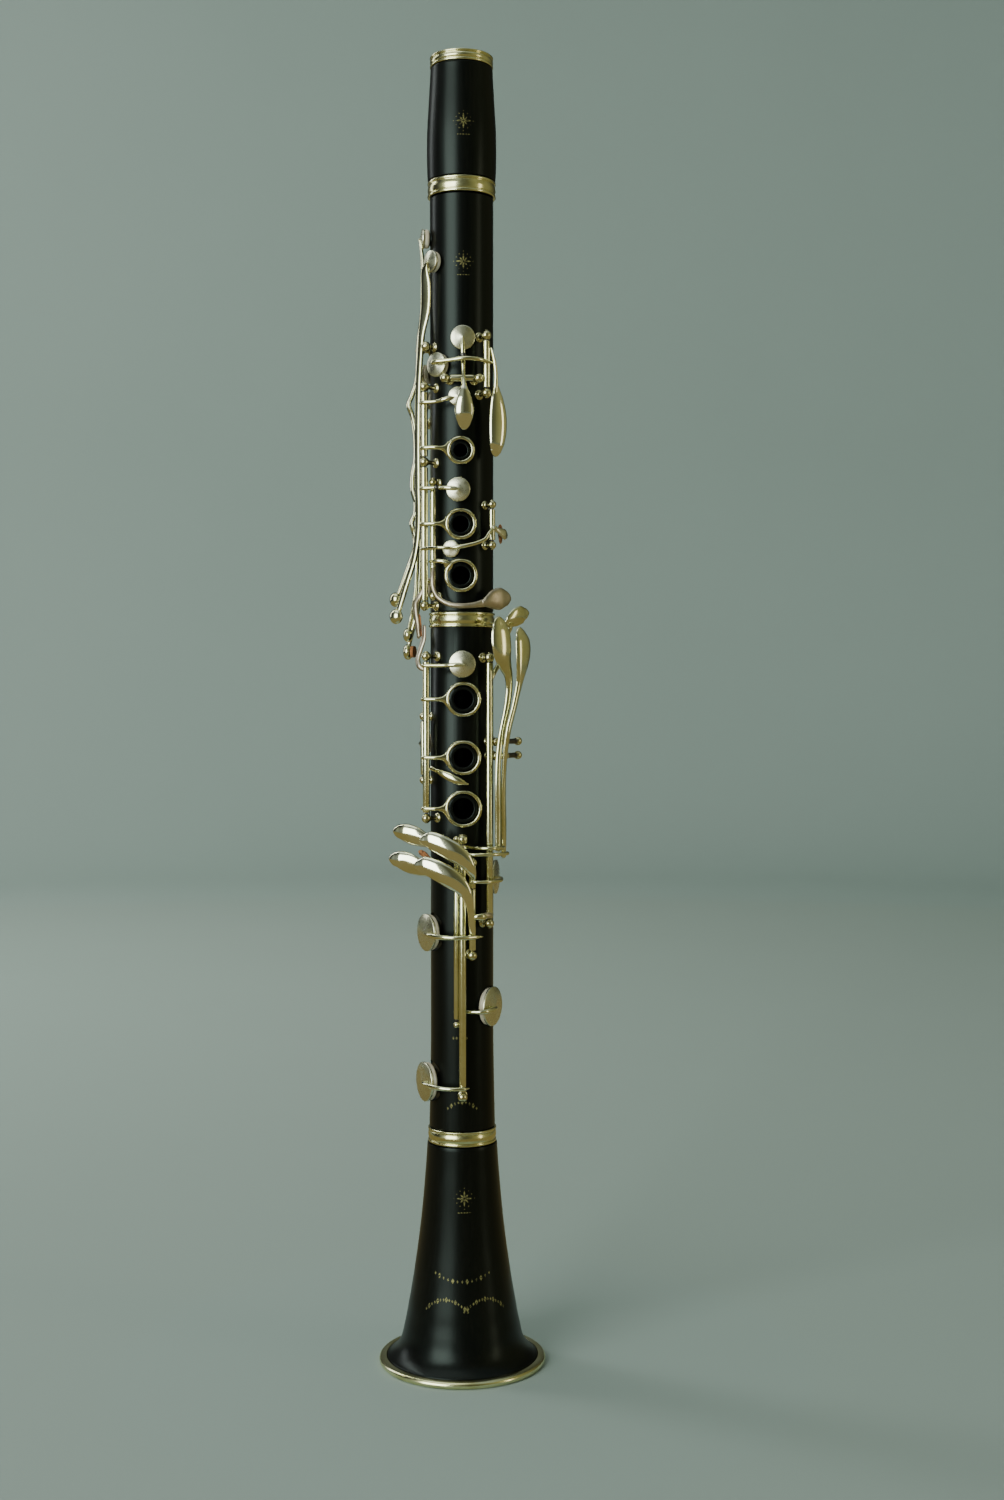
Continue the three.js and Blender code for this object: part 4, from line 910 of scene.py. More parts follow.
def side_lever(name, node, phi, facing, pivot_z, tube_t, points, widths, heights, head, button, corked=False):
    """Long lever on a cross pin: a flat strip with its pad at the top and a rounded touch at the foot."""
    pad_phi, pad_z, pad_r = head
    path = [P(pad_phi, 19.1, pad_z)] + [F(phi, *p) for p in points]
    strip = blade(path, widths, heights, "keys", out(facing), 1.0, 6, 18, (0.4, 0.5), 0.6)
    t, h, z, r = button
    arc = (math.radians(d) for d in range(-60, 90, 15))
    knob = [(0, -2.2), *((r * math.cos(a), 2.35 * math.sin(a)) for a in arc), (0, 2.35)]
    touch_part = lathe(knob, F(phi, t, h, z), out(facing), "keys", 32)
    parts = [strip, cup(pad_phi, pad_z, pad_r), touch_part,
        tube(F(phi, tube_t, 17.9, pivot_z), F(phi, tube_t + 3.2, 17.9, pivot_z), 1.5)]
    bumper = eased([(0, -3.3), (r * 0.72, -3.3), (r * 0.75, -1.2), (0, -1.2)], 0.2)
    bumper = lathe(bumper, F(phi, t, h, z), out(phi), "old_cork", 24) if corked else None
    key(name, node, parts, pad_disc(pad_phi, pad_z, pad_r - 0.25), None, bumper)


def side_keys():
    pins = lambda phi, t, z: [F(phi, -t, 17.9, z), F(phi, t, 17.9, z)]
    hinge("trill_posts", "trill_hinge", pins(-76, 5.9, 462), 2.2)
    hinge("side_key_posts", "side_key_hinge", pins(-111, 5.5, 430), 1.9)
    side_lever(
        "trill_key_1", "trill_key_1", -76, -60, 462, -3.5,
        [(-2.9, 17.6, 504), (-3.1, 17.3, 492), (-2.9, 17.7, 478), (-2.2, 19.2, 467), (-2.1, 19.6, 460),
         (-2.1, 20.4, 448), (-2.3, 22.6, 441), (-2.4, 24.1, 437), (-2.4, 22.6, 432.5), (-2.4, 21.2, 425),
         (-2.4, 20.9, 413), (-2.4, 22.2, 406), (-2.4, 22.3, 399), (-2.4, 20.9, 393), (-2.4, 21.2, 388),
         (-2.4, 22.8, 384), (-2.4, 21.6, 379), (-2.3, 21.3, 373), (-2.5, 24.2, 364), (-3, 27.2, 355.6),
         (-3.2, 29.4, 350)],
        [0.4, 0.9, 0.9] + [1.3] * 17 + [1.1, 0.8], [0.4, 0.7, 0.7] + [0.85] * 17 + [0.8, 0.7],
        (-84, 511.6, 4.4), (-3.2, 30.2, 349.2, 3.3))
    side_lever(
        "trill_key_2", "trill_key_2", -76, -40, 462, 0.3,
        [(5, 18.1, 496), (4, 17.5, 490), (3.6, 17.6, 479), (2.4, 19, 468.5), (2.1, 19.5, 461), (2.1, 20.5, 446),
         (2, 20.9, 425), (2, 20.9, 402), (2, 20.9, 380), (2, 22.8, 367), (1.8, 26.8, 354), (1.2, 29.8, 343.6)],
        [0.4, 2, 2.8, 2.8, 1.8, 1.55, 1.55, 1.55, 1.55, 1.5, 1.5, 1.4, 1.2, 0.9],
        [0.4, 0.8] + [0.85] * 10 + [0.8, 0.7],
        (-53, 499.6, 4.9), (0.9, 30.7, 341.4, 3.4))
    side_lever(
        "side_key_3", "side_key_3", -111, -90, 430, 0.3,
        [(2.1, 19.2, 444), (2.1, 19.6, 430), (2.1, 19.8, 415), (2.1, 20.5, 395), (2.1, 20.9, 370),
         (2.8, 21.7, 352), (5.2, 22.9, 340), (6.2, 23.7, 334.6)],
        [0.4, 1.2, 1.3, 1.3, 1.3, 1.3, 1.3, 1.2, 0.9], [0.4, 0.8, 0.9, 0.9, 0.9, 0.9, 0.9, 0.9, 0.8],
        (-108, 452, 4.5), (6.3, 23.8, 333.4, 3.3))
    side_lever(
        "side_key_4", "side_key_4", -111, -96, 430, -3.5,
        [(-3, 19.1, 434), (-2.1, 19.6, 428), (-2.1, 20.5, 398), (-2.1, 20.9, 366), (-1.5, 22.1, 346),
         (0.8, 24.6, 333), (1.9, 25.4, 327.6)],
        [0.4, 1.2, 1.3, 1.3, 1.3, 1.3, 1.2, 0.9], [0.4, 0.8, 0.9, 0.9, 0.9, 0.9, 0.9, 0.8], (-129, 441, 4.2),
        (2.2, 25.6, 325.9, 3.7), True)


# ---- lower joint keys
def lower_ring_keys():
    line = rail(-49.6, 21)
    hinge("lower_rail_posts", "lower_ring_hinge", [line(323.5), line(250.8)], 2.15)
    parts = []
    for z, inner, outer in ((304.2, 6.4, 7.9), (278.1, 6.4, 7.9), (255.2, 6.85, 8.35)):
        parts += [finger_ring(0, 0.6, z, inner, outer), ring_arm(line, z, 0.6, outer - 0.15)]
    top = swung([cup(1.6, 319.9, 5.95, None, 1.1), pad_disc(1.6, 319.9, 5.65)], line(0), -RING_TRAVEL)
    bridge = arm_strip(
        [P(-50.5, 22.2, 317.5), P(-56, 23, 319), P(-60.5, 22.7, 322), P(-60.5, 21.3, 327),
         P(-58.6, 20.2, 331.5), P(-58, 20, 337)],
        [0.9, 1.4, 1.6, 1.7, 1.8, 1.2], [0.8, 1, 1, 0.9, 0.8, 0.5], "worn_plate", 0.9, 14, (0.6, 0.6))
    parts += [top[0], cup_arm(line, 319.3, V(1.4, -21, 319.7), 20.4), bridge,
        tube(line(253.4), line(320.9), 1.6)]
    key("lower_ring_key", "rh_ring_key", parts, top[1], "rh_ring_pad")


def b_sliver_key():
    line = rail(-75, 18)
    hinge("sliver_posts", "b_sliver_hinge", [line(267.6), line(296.5)], 1.9)
    arm = blade(
        [line(273) + out(-75) * 0.4, P(-62, 17.4, 273.4), P(-50, 17.2, 273), P(-40, 17.3, 272)],
        [0.9, 0.9, 0.9, 0.8], [0.8, 0.8, 0.75, 0.8])
    spoon = blade(
        [V(-11.4, -13.2, 272.3), V(-8.6, -15.9, 271), V(-5, -17.6, 269.2), V(-1.2, -18.4, 267.6),
         V(2.4, -18.3, 266.4)],
        [0.9, 1.5, 1.8, 1.6, 0.5], [0.8, 1, 1.1, 1, 0.5], "keys", None, 0.6, 8, 18, (0.6, 1))
    pad_arm = blade(
        [line(284) + out(-80) * 0.5, P(-92, 19, 284), P(-104, 19.2, 284), P(-115, 18.9, 284)],
        [0.9, 0.9, 0.9, 0.2], [0.9, 0.8, 0.7, 0.4])
    key("sliver_key", "b_sliver_key",
        [arm, spoon, pad_arm, cup(-115, 284, 4.5), tube(line(270), line(294.1), 1.4)],
        pad_disc(-115, 284, 4.25))


LEVER_PHI = 51  # where the two long left-hand levers lie


def left_levers():
    pins = lambda z: [F(LEVER_PHI, 0.3, 19.2, z), F(LEVER_PHI, 16.8, 19.2, z)]
    local = lambda points: [F(LEVER_PHI, *p) for p in points]
    hinge("inner_lever_posts", "f_sharp_lever_hinge", pins(285.1), 1.95, 1.15)
    hinge("outer_lever_posts", "e_b_lever_hinge", pins(278.7), 1.95, 1.15)
    inner = blade(
        local([(-1.1, 21.7, 236.6), (-1.4, 22, 250), (-2.4, 22.6, 268), (-2.1, 22.7, 278), (-0.9, 22.8, 285),
            (0.6, 23, 291), (2.4, 24.1, 301), (3.1, 24.7, 309), (2.3, 25, 314.5), (-0.3, 25.2, 319.4),
            (-2.4, 25.4, 323.8), (-3.3, 25.4, 329), (-3.5, 25.1, 334), (-3.6, 24.4, 338.2)]),
        [1.5, 1.6, 1.5, 1.4, 1.5, 1.6, 1.6, 1.7, 2.1, 3.3, 4.5, 4.95, 4.7, 3.4],
        [1, 1.1, 1.1, 1.1, 1.1, 1.1, 1.1, 1.1, 1.2, 1.3, 1.4, 1.45, 1.35, 1],
        "keys", out(30), 0.6, 7, 20, (0.6, 0.9))
    lug = blade(local([(4.6, 19.8, 285.1), (3.6, 21.4, 285.1), (1.6, 22.5, 285.1), (-0.6, 22.6, 285.1)]),
        [1.1, 1.2, 1.2, 1], [0.9] * 4)
    key("inner_lever", "lh_f_sharp_lever",
        [inner, lug, tube(*local([(2.6, 19.2, 285.1), (8.5, 19.2, 285.1)]), 1.55)])
    outer = blade(
        local([(3.4, 21.3, 233.4), (2.6, 22, 245), (1.2, 22.9, 262), (0.6, 23.8, 274), (0.4, 25.3, 285),
            (0.8, 26.2, 291), (4.2, 27, 302), (6, 28.1, 311), (6.5, 28.8, 316), (7, 29.3, 321),
            (7.3, 29.5, 326), (7.2, 29.2, 330.6), (6.7, 28.4, 334)]),
        [1.4, 1.45, 1.4, 1.2, 1.4, 1.5, 1.5, 1.9, 2.9, 4, 4.6, 4.3, 3],
        [1, 1.1, 1.1, 1.1, 1.1, 1.1, 1.1, 1.1, 1.2, 1.3, 1.4, 1.3, 1],
        "keys", out(45), 0.6, 7, 20, (0.6, 0.9))
    lug = blade(local([(4.8, 19.8, 278.7), (4, 21.8, 278.7), (2.2, 23.6, 278.7), (0.7, 24.4, 278.7)]),
        [1.1, 1.2, 1.2, 1], [0.9] * 4)
    key("outer_lever", "lh_e_b_lever",
        [outer, lug, tube(*local([(2.6, 19.2, 278.7), (8.5, 19.2, 278.7)]), 1.55)])


def left_f_c_lever():
    line = rail(40, 19)
    hinge("right_rail_posts", "lh_f_c_hinge", [line(322.9), line(203.5)], 2.2)
    stem = blade(
        [V(12.6, -14.4, 312), V(14.6, -13.1, 316.5), V(17, -10.8, 321), V(18.6, -9.4, 327), V(20.2, -9, 332.5),
         V(21.8, -9.4, 336.5)],
        [0.7, 1.2, 1.2, 1.2, 1.3, 1.8], [0.8, 1, 1, 0.95, 0.95, 1])
    button = leaf_strip(
        [V(19.8, -11.8, 337.6), V(21.6, -11.2, 339.2), V(24.2, -9.6, 341), V(26.8, -7.6, 342.4),
         V(28.8, -5.7, 343)],
        [1.6, 3.2, 4.2, 4.1, 2.6], [0.9, 1.2, 1.4, 1.3, 0.9], out(58), (0.5, 0.8), "keys", 0.5)
    finger = blade(
        [line(207.3) + out(60) * 0.6, line(207.3) + out(20) * 1.7, V(9.6, -18.9, 207.3), V(7.2, -19.3, 207.3)],
        [0.8, 1.2, 1.4, 0.5], [0.8, 0.9, 0.9, 0.5], "worn_plate")
    key("f_c_lever", "lh_f_c_lever", [stem, button, finger, tube(line(205.9), line(320.5), 1.6)])


# ---- right little-finger keys
E_B_LINE = rail(0.6, 19.5)
F_SHARP_LINE = rail(-8.3, 16.6)
F_C_LINE = rail(13.4, 19.5)


def little_finger_posts():
    balls = [F_SHARP_LINE(241.6), F_SHARP_LINE(158)]
    extra = [tube(balls[0], balls[1], ROD_R, "steel", 16), post(balls[1], 1.6), ball(balls[0], 1.6)]
    hinge("main_rail_posts", "e_b_f_sharp_hinge", [E_B_LINE(241.6), E_B_LINE(125.9)], 2.25, extra=extra)
    hinge("short_rail_posts", "f_c_hinge", [F_C_LINE(231.2), F_C_LINE(189.6)], 2.2)


def spoon(points, widths, heights, face):
    return blade(points, widths, heights, "spoons", face, 0.62, 9, 26, (0.85, 0.5))


def e_b_key():
    touch_part = spoon(
        [V(-30.4, -10.9, 232.3), V(-27.4, -12.3, 232), V(-23.6, -14, 230.6), V(-19.6, -15.6, 228.9),
         V(-16, -16.8, 227.4), V(-12.4, -17.7, 226.6)],
        [3.2, 4.15, 4.45, 3.8, 2.6, 1.5], [1.7, 2.1, 1.5, 1, 1, 0.9], out(-27))
    arm = blade([V(-14, -17.2, 227), V(-10, -18.2, 226.3), V(-5, -19.6, 226), V(0.2, -20.3, 226)],
        [1.7, 1.3, 1.2, 1.3], [1.1, 0.9, 0.8, 0.8])
    lever = blade(
        level(235.1, (-1.8, -20.2), (1.4, -21.3), (6.4, -22.7), (12.2, -22.2), (17, -19.2), (20.3, -14.6),
            (20.8, -13)),
        [0.6, 0.8, 0.8, 0.8, 0.85, 0.9, 0.4], [0.8, 0.95, 0.95, 0.95, 0.95, 0.9, 0.5])
    pad_arm = arm_strip(
        [V(2.8, -19.6, 129.9), V(0.2, -21.2, 129.9), V(-5.6, -20.8, 129.9), V(-10.6, -18, 130),
         V(-14.2, -13.6, 130.1), V(-16.4, -8.6, 130.3), V(-16.4, -4.9, 130.4)],
        [0.4, 0.95, 0.95, 1.05, 1.1, 0.9, 0.15], [0.7, 1, 0.95, 0.9, 0.8, 0.7, 0.3], ends=(1, 0.3))
    opened = swung([cup(*E_B_PAD, 8.95, None, 0.95, SUNK), pad_arm, pad_disc(*E_B_PAD, 8.6, 0.4 - SUNK)],
        E_B_LINE(0), PAD_TRAVEL)
    parts = [touch_part, arm, lever, opened[0], opened[1], tube(E_B_LINE(128.4), E_B_LINE(239.1), 1.6)]
    bumper = cork_strip([V(-18.6, -13.4, 235.6), V(-16.6, -14.2, 234.4), V(-15, -14.8, 233)], [1.3, 1.4, 1.1],
        [0.9, 1.1, 0.8])
    key("e_b_key", "rh_e_b_key", parts, opened[2], "e_b_pad", bumper=bumper)


def f_sharp_key():
    touch_part = spoon(
        [V(-28.6, -11.2, 244.8), V(-25.4, -12.7, 244.4), V(-21.6, -14.2, 243.1), V(-17.8, -15.5, 241.6),
         V(-14.6, -16.4, 240.2), V(-11.4, -16.9, 239.3)],
        [3.1, 4.05, 4.35, 3.6, 2.5, 1.4], [1.7, 2.2, 2, 1.5, 1.2, 0.8], out(-27))
    arm = blade([V(-13, -16.7, 239.8), V(-9.4, -17, 238.9), V(-5.6, -17.1, 238.1), V(-2.6, -17.1, 237.9)],
        [1.5, 1.2, 1.1, 1.1], [0.9, 0.8, 0.7, 0.7])
    lever = blade(
        level(237.9, (-3.4, -15.6), (-0.8, -15.8), (1.6, -15.9), (4.8, -17.5), (8, -20.8), (12.2, -22.5),
            (16, -20.2), (18.4, -16.2), (18.9, -14.9)),
        [0.7, 0.8, 0.8, 0.8, 0.8, 0.8, 0.85, 0.9, 0.4], [0.7, 0.75, 0.75, 0.8, 0.9, 0.9, 0.9, 0.8, 0.5])
    pad_arm = arm_strip(
        [V(-3.4, -15.7, 163.7), V(-1.4, -15.9, 163.7), V(1.4, -15.9, 163.7), V(4.9, -17.1, 163.8),
         V(8.8, -18.4, 164), V(12.8, -16, 164.3), V(15.4, -11.6, 164.6), V(15.2, -8.1, 164.8)],
        [0.6, 0.85, 0.85, 0.9, 1, 1.05, 0.9, 0.15], [0.7, 0.75, 0.75, 0.8, 0.9, 0.85, 0.7, 0.3], ends=(1, 0.3))
    parts = [touch_part, arm, lever, pad_arm, cup(*F_SHARP_PAD, 8.95, None, 0.95, SUNK),
        tube(F_SHARP_LINE(160.6), F_SHARP_LINE(239.5), 1.4)]
    bumper = cork_strip([V(-18.2, -12.6, 240.2), V(-16.2, -13.4, 239.2), V(-14, -14, 238.4)], [1.1, 1.2, 1],
        [0.8, 0.9, 0.7])
    key("f_sharp_key", "rh_f_sharp_key", parts, pad_disc(*F_SHARP_PAD, 8.6, 0.4 - SUNK), "f_sharp_pad",
        bumper=bumper)


def f_c_key():
    touch_part = spoon(
        [V(-19.4, -21.2, 230.4), V(-16.4, -22.4, 230.4), V(-11.6, -23.8, 228.6), V(-6.4, -24.8, 225.8),
         V(-2, -25, 222.6), V(1.2, -24.8, 219), V(3, -24, 214.6), V(3.9, -22.8, 209.6), V(4.2, -21.8, 204.6),
         V(4.4, -21.2, 200)],
        [2.6, 4, 4.5, 4.6, 4.1, 3.1, 2.1, 1.6, 1.5, 1.3], [1.2, 1.8, 2.1, 2.1, 1.9, 1.7, 1.4, 1.2, 1, 0.7],
        out(-12))
    lug = blade(level(207.3, (4.4, -21), (6.4, -22.4), (9.2, -22), (11, -20.6)), [0.9, 1.3, 1.6, 0.6],
        [0.8, 0.9, 0.9, 0.5])
    pad_arm = arm_strip(
        [V(8.9, -19.6, 198.1), V(5, -21.2, 198.1), V(0.4, -23.1, 198.1), V(-5, -22.6, 198.1),
         V(-11, -18.6, 198.2), V(-14.8, -12.6, 198.4), V(-16, -6.3, 198.6)],
        [0.3, 1.1, 1, 1.05, 1.15, 1, 0.15], [0.6, 1, 1, 0.95, 0.85, 0.7, 0.3], ends=(1.4, 0.3))
    opened = swung([cup(*F_C_PAD, 8.45, None, 0.95, SUNK), pad_arm, pad_disc(*F_C_PAD, 8.1, 0.4 - SUNK)],
        F_C_LINE(0), PAD_TRAVEL)
    parts = [touch_part, lug, opened[0], opened[1], tube(F_C_LINE(192), F_C_LINE(219.4), 1.6)]
    key("f_c_key", "rh_f_c_key", parts, opened[2], "f_c_pad")


def a_flat_key():
    touch_part = spoon(
        [V(-16.8, -21.8, 241.6), V(-14, -22.8, 241.6), V(-9.4, -24.1, 239.8), V(-4.4, -25, 237),
         V(-0.2, -25.1, 234), V(2.8, -24.8, 230.6), V(4.3, -23.6, 227), V(4.8, -21.9, 224.4)],
        [2.6, 4, 4.5, 4.5, 4, 3, 2.1, 1.5], [1.2, 1.8, 2.1, 2.1, 1.9, 1.7, 1.4, 0.9], out(-12))
    pad_arm = arm_strip(
        [V(3.6, -20.4, 222.8), V(6, -21.6, 222.8), V(10, -21.4, 222.8), V(14.2, -18.6, 222.8),
         V(17.4, -13.8, 222.9), V(17.8, -8.4, 223.2), V(16.7, -3.6, 223.4)],
        [0.6, 0.8, 0.8, 0.85, 0.9, 0.9, 0.15], [0.7, 0.9, 0.9, 0.9, 0.85, 0.7, 0.3], belly=0.8, ends=(0.8, 0.3))
    parts = [touch_part, pad_arm, cup(*A_FLAT_PAD, 7.7, None, 0.9, SUNK),
        tube(F_C_LINE(219.8), F_C_LINE(228.7), 1.6)]
    key("a_flat_key", "rh_a_flat_key", parts, pad_disc(*A_FLAT_PAD, 7.4, 0.4 - SUNK), "a_flat_pad")


def thumb_rest():
    plate = blade(
        [V(0, 15.2, 271), V(0, 15.3, 276), V(0, 15.3, 284), V(0, 15.3, 292), V(0, 15.2, 296)],
        [3.4, 4.5, 4.5, 4.5, 3.4], [0.8, 0.95, 0.95, 0.95, 0.8], "keys", out(BACK), 0.8, 7, 22, (0.4, 0.4))
    hook = blade(
        [V(0, 14.9, 276.2), V(0, 18, 275.9), V(0, 23, 275.6), V(0, 28.5, 275.6), V(0, 32.4, 276.6),
         V(0, 34.2, 279), V(0, 34.4, 280.4)],
        [5.2, 5.4, 5.8, 6, 6, 5.8, 4.8], [1.3, 1.1, 1, 1, 1, 0.9, 0.7], "keys", V(0, 0, -1), 1, 7, 26,
        (0.3, 0.6))
    screws = [slot_screw(V(0, 16.2, z), out(BACK), 1.5, 0.5, "posts") for z in (282, 291)]
    build("thumb_rest_metal", "body", [plate, hook, screws], ["thumb_rest"])


def needle_springs():
    """Blued needles that run from a post to the catch on each key."""
    runs = [
        (P(-52.7, 19.2, 442), P(-55, 19, 424)), (P(-52.7, 19.2, 347.6), P(-54, 19, 354.6)),
        (P(-49.6, 19.2, 322), P(-51.5, 19, 300)), (P(-49.6, 19.2, 252.4), P(-51.5, 19, 270)),
        (P(0.6, 17.9, 127.5), P(3, 17.7, 148)), (P(40, 17.2, 205.2), P(42, 17.2, 226)),
        (P(32.6, 18.7, 464.4), P(35, 18.6, 449)), (P(45.5, 17.3, 390), P(47, 17.2, 380.5)),
        (P(-142, 17, 431.6), P(-140, 16.9, 418)),
    ]
    radii = [0.28, 0.24, 0.16]
    parts = [blade([a, a.lerp(b, 0.5), b], radii, radii, "steel", belly=1.0, fine=5, sides=8) for a, b in runs]
    build("needle_springs", "body", parts, ())


# ---- plain stamped ornament
BELL_SKIN = [(0, 34.5), (6.6, 30.6), (12.2, 27.65), (18.3, 26.3), (27.6, 24.55), (36.9, 22.9), (46.1, 21.5),
    (55.5, 20.15), (64.8, 19), (74, 18.05), (83.2, 17.25), (92.5, 16.5), (101.3, 15.95), (108.8, 15),
    (150, 14.3), (530, 14.3), (537.6, 15.3), (551, 15.65), (559, 15.55), (567, 15.15), (576, 14.6), (585, 14.1)]


def skin_r(z):
    for (z0, r0), (z1, r1) in zip(BELL_SKIN, BELL_SKIN[1:]):
        if z0 <= z <= z1:
            return r0 + (r1 - r0) * (z - z0) / (z1 - z0)
    return BELL_SKIN[-1][1]


def leaf_gold(outline, phi, z):
    """Thin gilt shape on the wood from its outline in mm, across and up from a place."""
    verts = []
    count = len(outline)
    for lift in (0.035, -0.05):
        for u, v in outline:
            r = skin_r(z + v)
            verts.append(P(phi + math.degrees(u / r), r + lift, z + v))
    faces = [list(range(count)), list(range(2 * count - 1, count - 1, -1))]
    for k in range(count):
        m = (k + 1) % count
        faces.append([k, m, count + m, count + k])
    return (verts, faces, "gilt")


def petal(cx, cy, angle, length, width):
    """Pointed oval outline that starts at a place and points along an angle."""
    points = []
    steps = 6
    for sign in (1, -1):
        for k in range(steps):
            s = k / steps if sign > 0 else 1 - k / steps
            w = sign * width / 2 * math.sin(math.pi * s)
            points.append((cx + length * s * math.cos(angle) - w * math.sin(angle),
                cy + length * s * math.sin(angle) + w * math.cos(angle)))
    return points


def lozenge(cx, cy, w, h):
    return [(cx - w, cy), (cx, cy - h), (cx + w, cy), (cx, cy + h)]


def rosette(phi, z, size):
    """Eight-pointed star in a diamond of small dots, with a plain bar below it."""
    parts = [leaf_gold(petal(0.25 * math.cos(a), 0.25 * math.sin(a), a, size * (0.62 if k % 2 else 0.95),
        size * 0.2), phi, z)
             for k, a in ((k, math.pi * k / 4) for k in range(8))]
    for k in range(12):
        a = 2 * math.pi * k / 12
        reach = size * 1.3 / (abs(math.cos(a)) + abs(math.sin(a))) ** 0.6
        parts.append(leaf_gold(lozenge(reach * math.cos(a), reach * math.sin(a), 0.26, 0.26), phi, z))
    for k in range(-2, 3):
        parts.append(leaf_gold(lozenge(k * size * 0.36, -size * 1.75, size * 0.16, 0.22), phi, z))
    return parts


def chain(phi_from, phi_to, z, rise, count):
    """Curved row of small lozenges."""
    parts = []
    for k in range(count):
        s = k / (count - 1)
        lift = rise * (1 - (2 * s - 1) ** 2)
        size = 0.75 if k % 3 == 1 else 0.42
        parts.append(leaf_gold(lozenge(0, 0, size, size * 1.7), phi_from + (phi_to - phi_from) * s, z + lift))
    return parts


def stamped_ornament():
    build("barrel_ornament", "barrel", [rosette(3, 560.5, 3.4)], ())
    parts = [rosette(3, 499, 3.4), rosette(3, 79.5, 3.6)]
    parts += [chain(-42, 6, 30, 5, 15), chain(2, 50, 30, 5, 15), chain(-34, 34, 46, -3, 13),
        chain(-26, 26, 119.5, 3, 9)]
    parts.append([leaf_gold(lozenge(k * 1.5, 0, 0.5, 0.7), -4, 151.5) for k in range(-2, 3)])
    build("body_ornament", "body", parts, ())


# ---- stage, lights and camera
FLOOR_GAP = 0.05  # mm between the bell's rim and the floor


def turned_stage(name, profile, material, sides):
    """Turned part of the room, from its profile in mm."""
    verts, faces, material = lathe(profile, ORIGIN, UP, material, sides)
    mesh = bpy.data.meshes.new(name)
    mesh.from_pydata([v * MM for v in verts], [], faces)
    mesh.materials.append(MATERIALS[material])
    piece = bpy.data.objects.new(name, mesh)
    bpy.context.scene.collection.objects.link(piece)
    return piece


def stage():
    """Pale floor that curves up into a plain pale wall."""
    bend = (math.pi / 2 * k / 12 for k in range(1, 13))
    steps = [(0, 0), (0.6, 0), (1.4, 0), (2.2, 0)]
    steps += [(2.2 + 0.8 * math.sin(a), 0.8 - 0.8 * math.cos(a)) for a in bend]
    steps += [(3.0, 1.6), (3.0, 2.6), (3.0, 3.5)]
    piece = turned_stage("stage", [(r * 1000, h * 1000 - FLOOR_GAP) for r, h in steps], "backdrop", 96)
    for polygon in piece.data.polygons:
        polygon.use_smooth = True


def area_light(name, place, target, size, power, colour):
    data = bpy.data.lights.new(name, "AREA")
    data.shape = "RECTANGLE"
    data.size, data.size_y = size
    data.energy = power
    data.color = colour
    lamp = bpy.data.objects.new(name, data)
    lamp.location = place
    lamp.rotation_euler = (Vector(target) - Vector(place)).to_track_quat("-Z", "Y").to_euler()
    lamp.visible_camera = False
    bpy.context.scene.collection.objects.link(lamp)


def lights():
    area_light("window", (-1.08, -1.35, 0.68), (0, 0, 0.36), (1.15, 1.25), 31, (0.92, 1, 0.96))
    area_light("right_fill", (1.6, -0.75, 0.5), (0, 0, 0.33), (0.3, 1), 2.5, (1, 0.90, 0.68))
    area_light("overhead", (-0.5, -0.2, 2.1), (-0.2, 0.4, 0.3), (1.4, 1.4), 6, (0.95, 1, 0.97))
    area_light("wall_wash", (-1.3, 0.7, 1.6), (-0.7, 2.9, 0.5), (1, 1), 30, (0.94, 1, 0.97))
    area_light("back_rim", (-1.5, 0.9, 0.9), (0, 0, 0.35), (0.3, 1.2), 4, (0.95, 1, 1))


# Painted reflection: glow colours round the stage by angle, with a dark band in front as painted shade, seen
# only in reflections.
PAINTED_REFLECTION_BANDS = [
    (0.00, (0.10, 0.115, 0.105)), (0.12, (0.05, 0.055, 0.05)), (0.26, (0.012, 0.013, 0.011)),
    (0.31, (0.24, 0.27, 0.25)), (0.45, (0.30, 0.34, 0.31)), (0.50, (0.07, 0.075, 0.05)),
    (0.56, (0.10, 0.105, 0.055)), (0.64, (0.27, 0.27, 0.13)), (0.78, (0.22, 0.22, 0.115)),
    (0.90, (0.04, 0.043, 0.03)), (1.00, (0.10, 0.115, 0.105)),
]


def surround():
    """Painted reflections of a room: glowing cards that only the plating mirrors, pale at the left, dark in
    front, tan at the right, and a warm glowing ring on the floor.
    """
    n = Nodes("surround")
    split = n.add("ShaderNodeSeparateXYZ")
    n.link(n.coords.outputs["Object"], split.inputs["Vector"])
    ahead = n.add("ShaderNodeMath", {1: -1.0}, operation="MULTIPLY")
    n.link(split.outputs["Y"], ahead.inputs[0])
    angle = n.add("ShaderNodeMath", operation="ARCTAN2")
    n.link(split.outputs["X"], angle.inputs[0])
    n.link(ahead.outputs["Value"], angle.inputs[1])
    turn = n.add("ShaderNodeMapRange", {"From Min": -math.pi, "From Max": math.pi})
    n.link(angle.outputs["Value"], turn.inputs["Value"])
    n.link(n.ramp(turn.outputs["Result"], PAINTED_REFLECTION_BANDS), n.shader.inputs["Emission Color"])
    # Painted reflection of a warm floor: a glowing ring that only reflections show.
    glow = Nodes("floor_glow")
    glow.set(emission_color=(0.22, 0.19, 0.085, 1))
    for nodes in (n, glow):
        nodes.set(base_color=(0, 0, 0, 1), roughness=1.0, specular_ior_level=0.0, emission_strength=1.0)
    card("stage_surround", [(1.95, 0.06), (1.95, 2.6)], "surround")
    card("stage_floor_glow", [(0.16, 0.004), (1.9, 0.004)], "floor_glow")


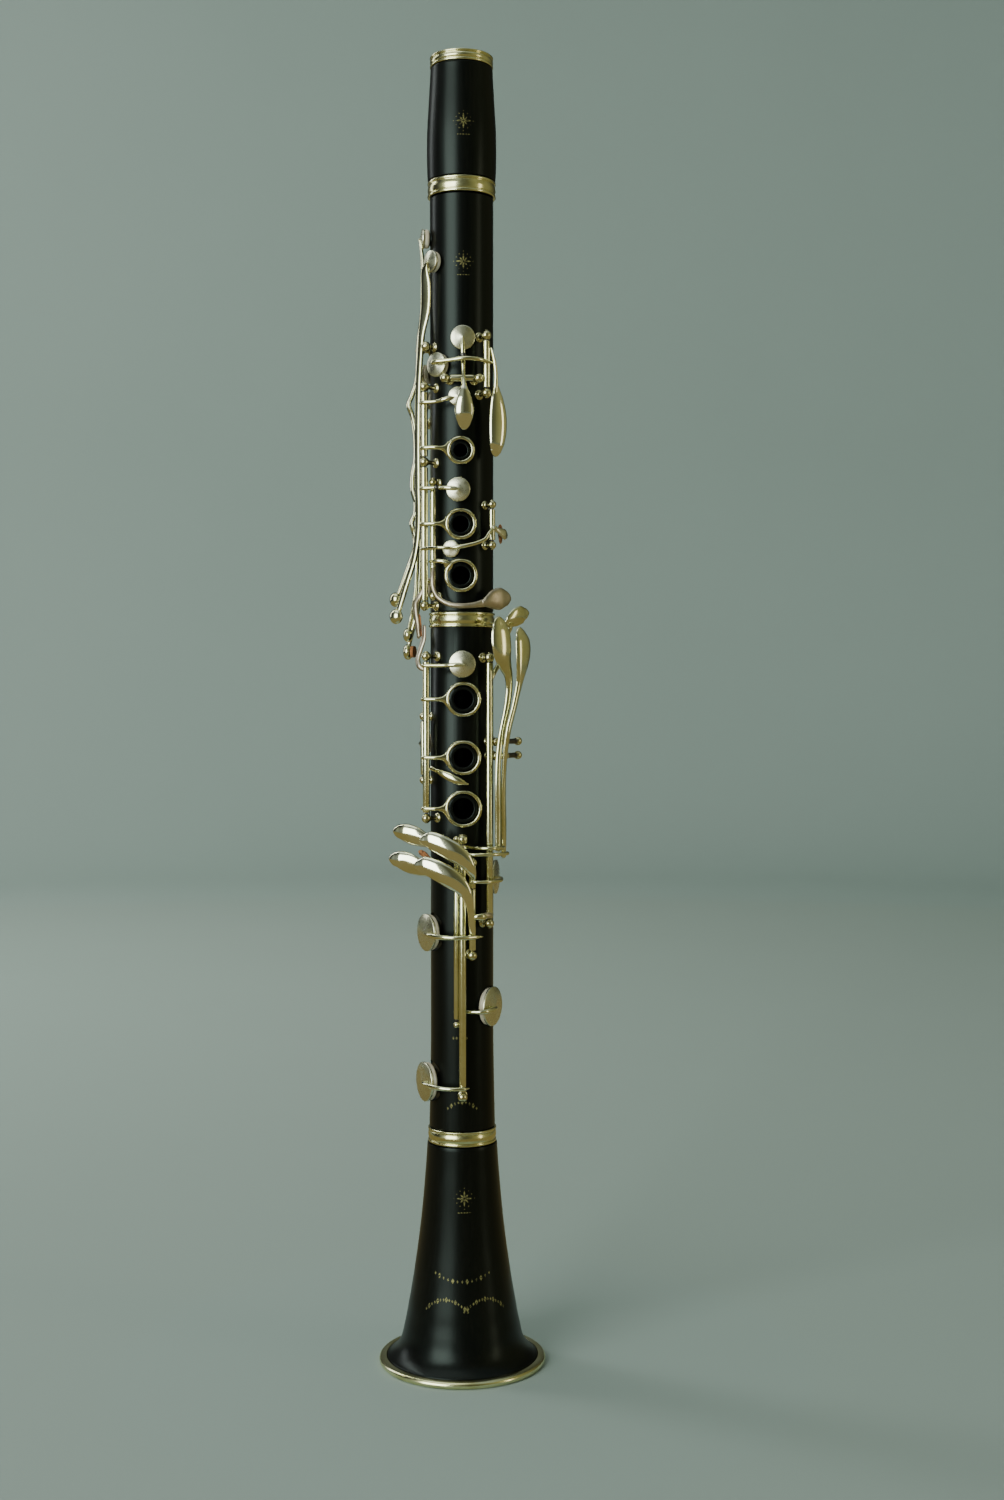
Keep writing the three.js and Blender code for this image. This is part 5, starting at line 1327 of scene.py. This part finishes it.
def card(name, steps, material):
    """Glowing card that only shows in reflections: a painted reflection, not a lamp."""
    piece = turned_stage(name, [(r * 1000, h * 1000) for r, h in steps], material, 72)
    piece.visible_camera = False
    piece.visible_diffuse = False
    piece.visible_transmission = False
    piece.visible_shadow = False


def world():
    """Weak ambient light: warm from below, cool from above."""
    sky = bpy.data.worlds.new("room")
    sky.use_nodes = True
    tree = sky.node_tree
    coords = tree.nodes.new("ShaderNodeTexCoord")
    split = tree.nodes.new("ShaderNodeSeparateXYZ")
    ramp = tree.nodes.new("ShaderNodeValToRGB")
    spread = tree.nodes.new("ShaderNodeMapRange")
    spread.inputs["From Min"].default_value = -1.0
    stops = ((0.35, (0.20, 0.15, 0.09, 1)), (0.75, (0.40, 0.47, 0.45, 1)))
    for element, (place, colour) in zip(ramp.color_ramp.elements, stops):
        element.position, element.color = place, colour
    tree.links.new(coords.outputs["Generated"], split.inputs["Vector"])
    tree.links.new(split.outputs["Z"], spread.inputs["Value"])
    tree.links.new(spread.outputs["Result"], ramp.inputs["Fac"])
    tree.links.new(ramp.outputs["Color"], tree.nodes["Background"].inputs["Color"])
    tree.nodes["Background"].inputs["Strength"].default_value = 0.75
    bpy.context.scene.world = sky


LENS = 44.4  # mm on a 36 mm sensor
EYE = (0, -0.8436, 0.3084)  # metres
LOOK_DOWN = 1.858  # degrees
LOOK_RIGHT = 1.24


def camera():
    data = bpy.data.cameras.new("camera")
    data.lens = LENS
    data.sensor_width = 36.0
    data.sensor_fit = "AUTO"
    eye = bpy.data.objects.new("camera", data)
    eye.location = EYE
    eye.rotation_euler = (math.radians(90 - LOOK_DOWN), 0, math.radians(-LOOK_RIGHT))
    bpy.context.scene.collection.objects.link(eye)
    bpy.context.scene.camera = eye


STEPS = (
    camera, world, stage, surround, lights, wooden_bodies, plated_rings, a_key, g_sharp_key,
    upper_ring_keys, third_ring_and_c_sharp, sliver_key, register_and_thumb, side_keys,
    lower_ring_keys, b_sliver_key, left_levers, left_f_c_lever, little_finger_posts, e_b_key,
    f_sharp_key, f_c_key, a_flat_key, thumb_rest, needle_springs, stamped_ornament,
)
for step in STEPS:
    step()
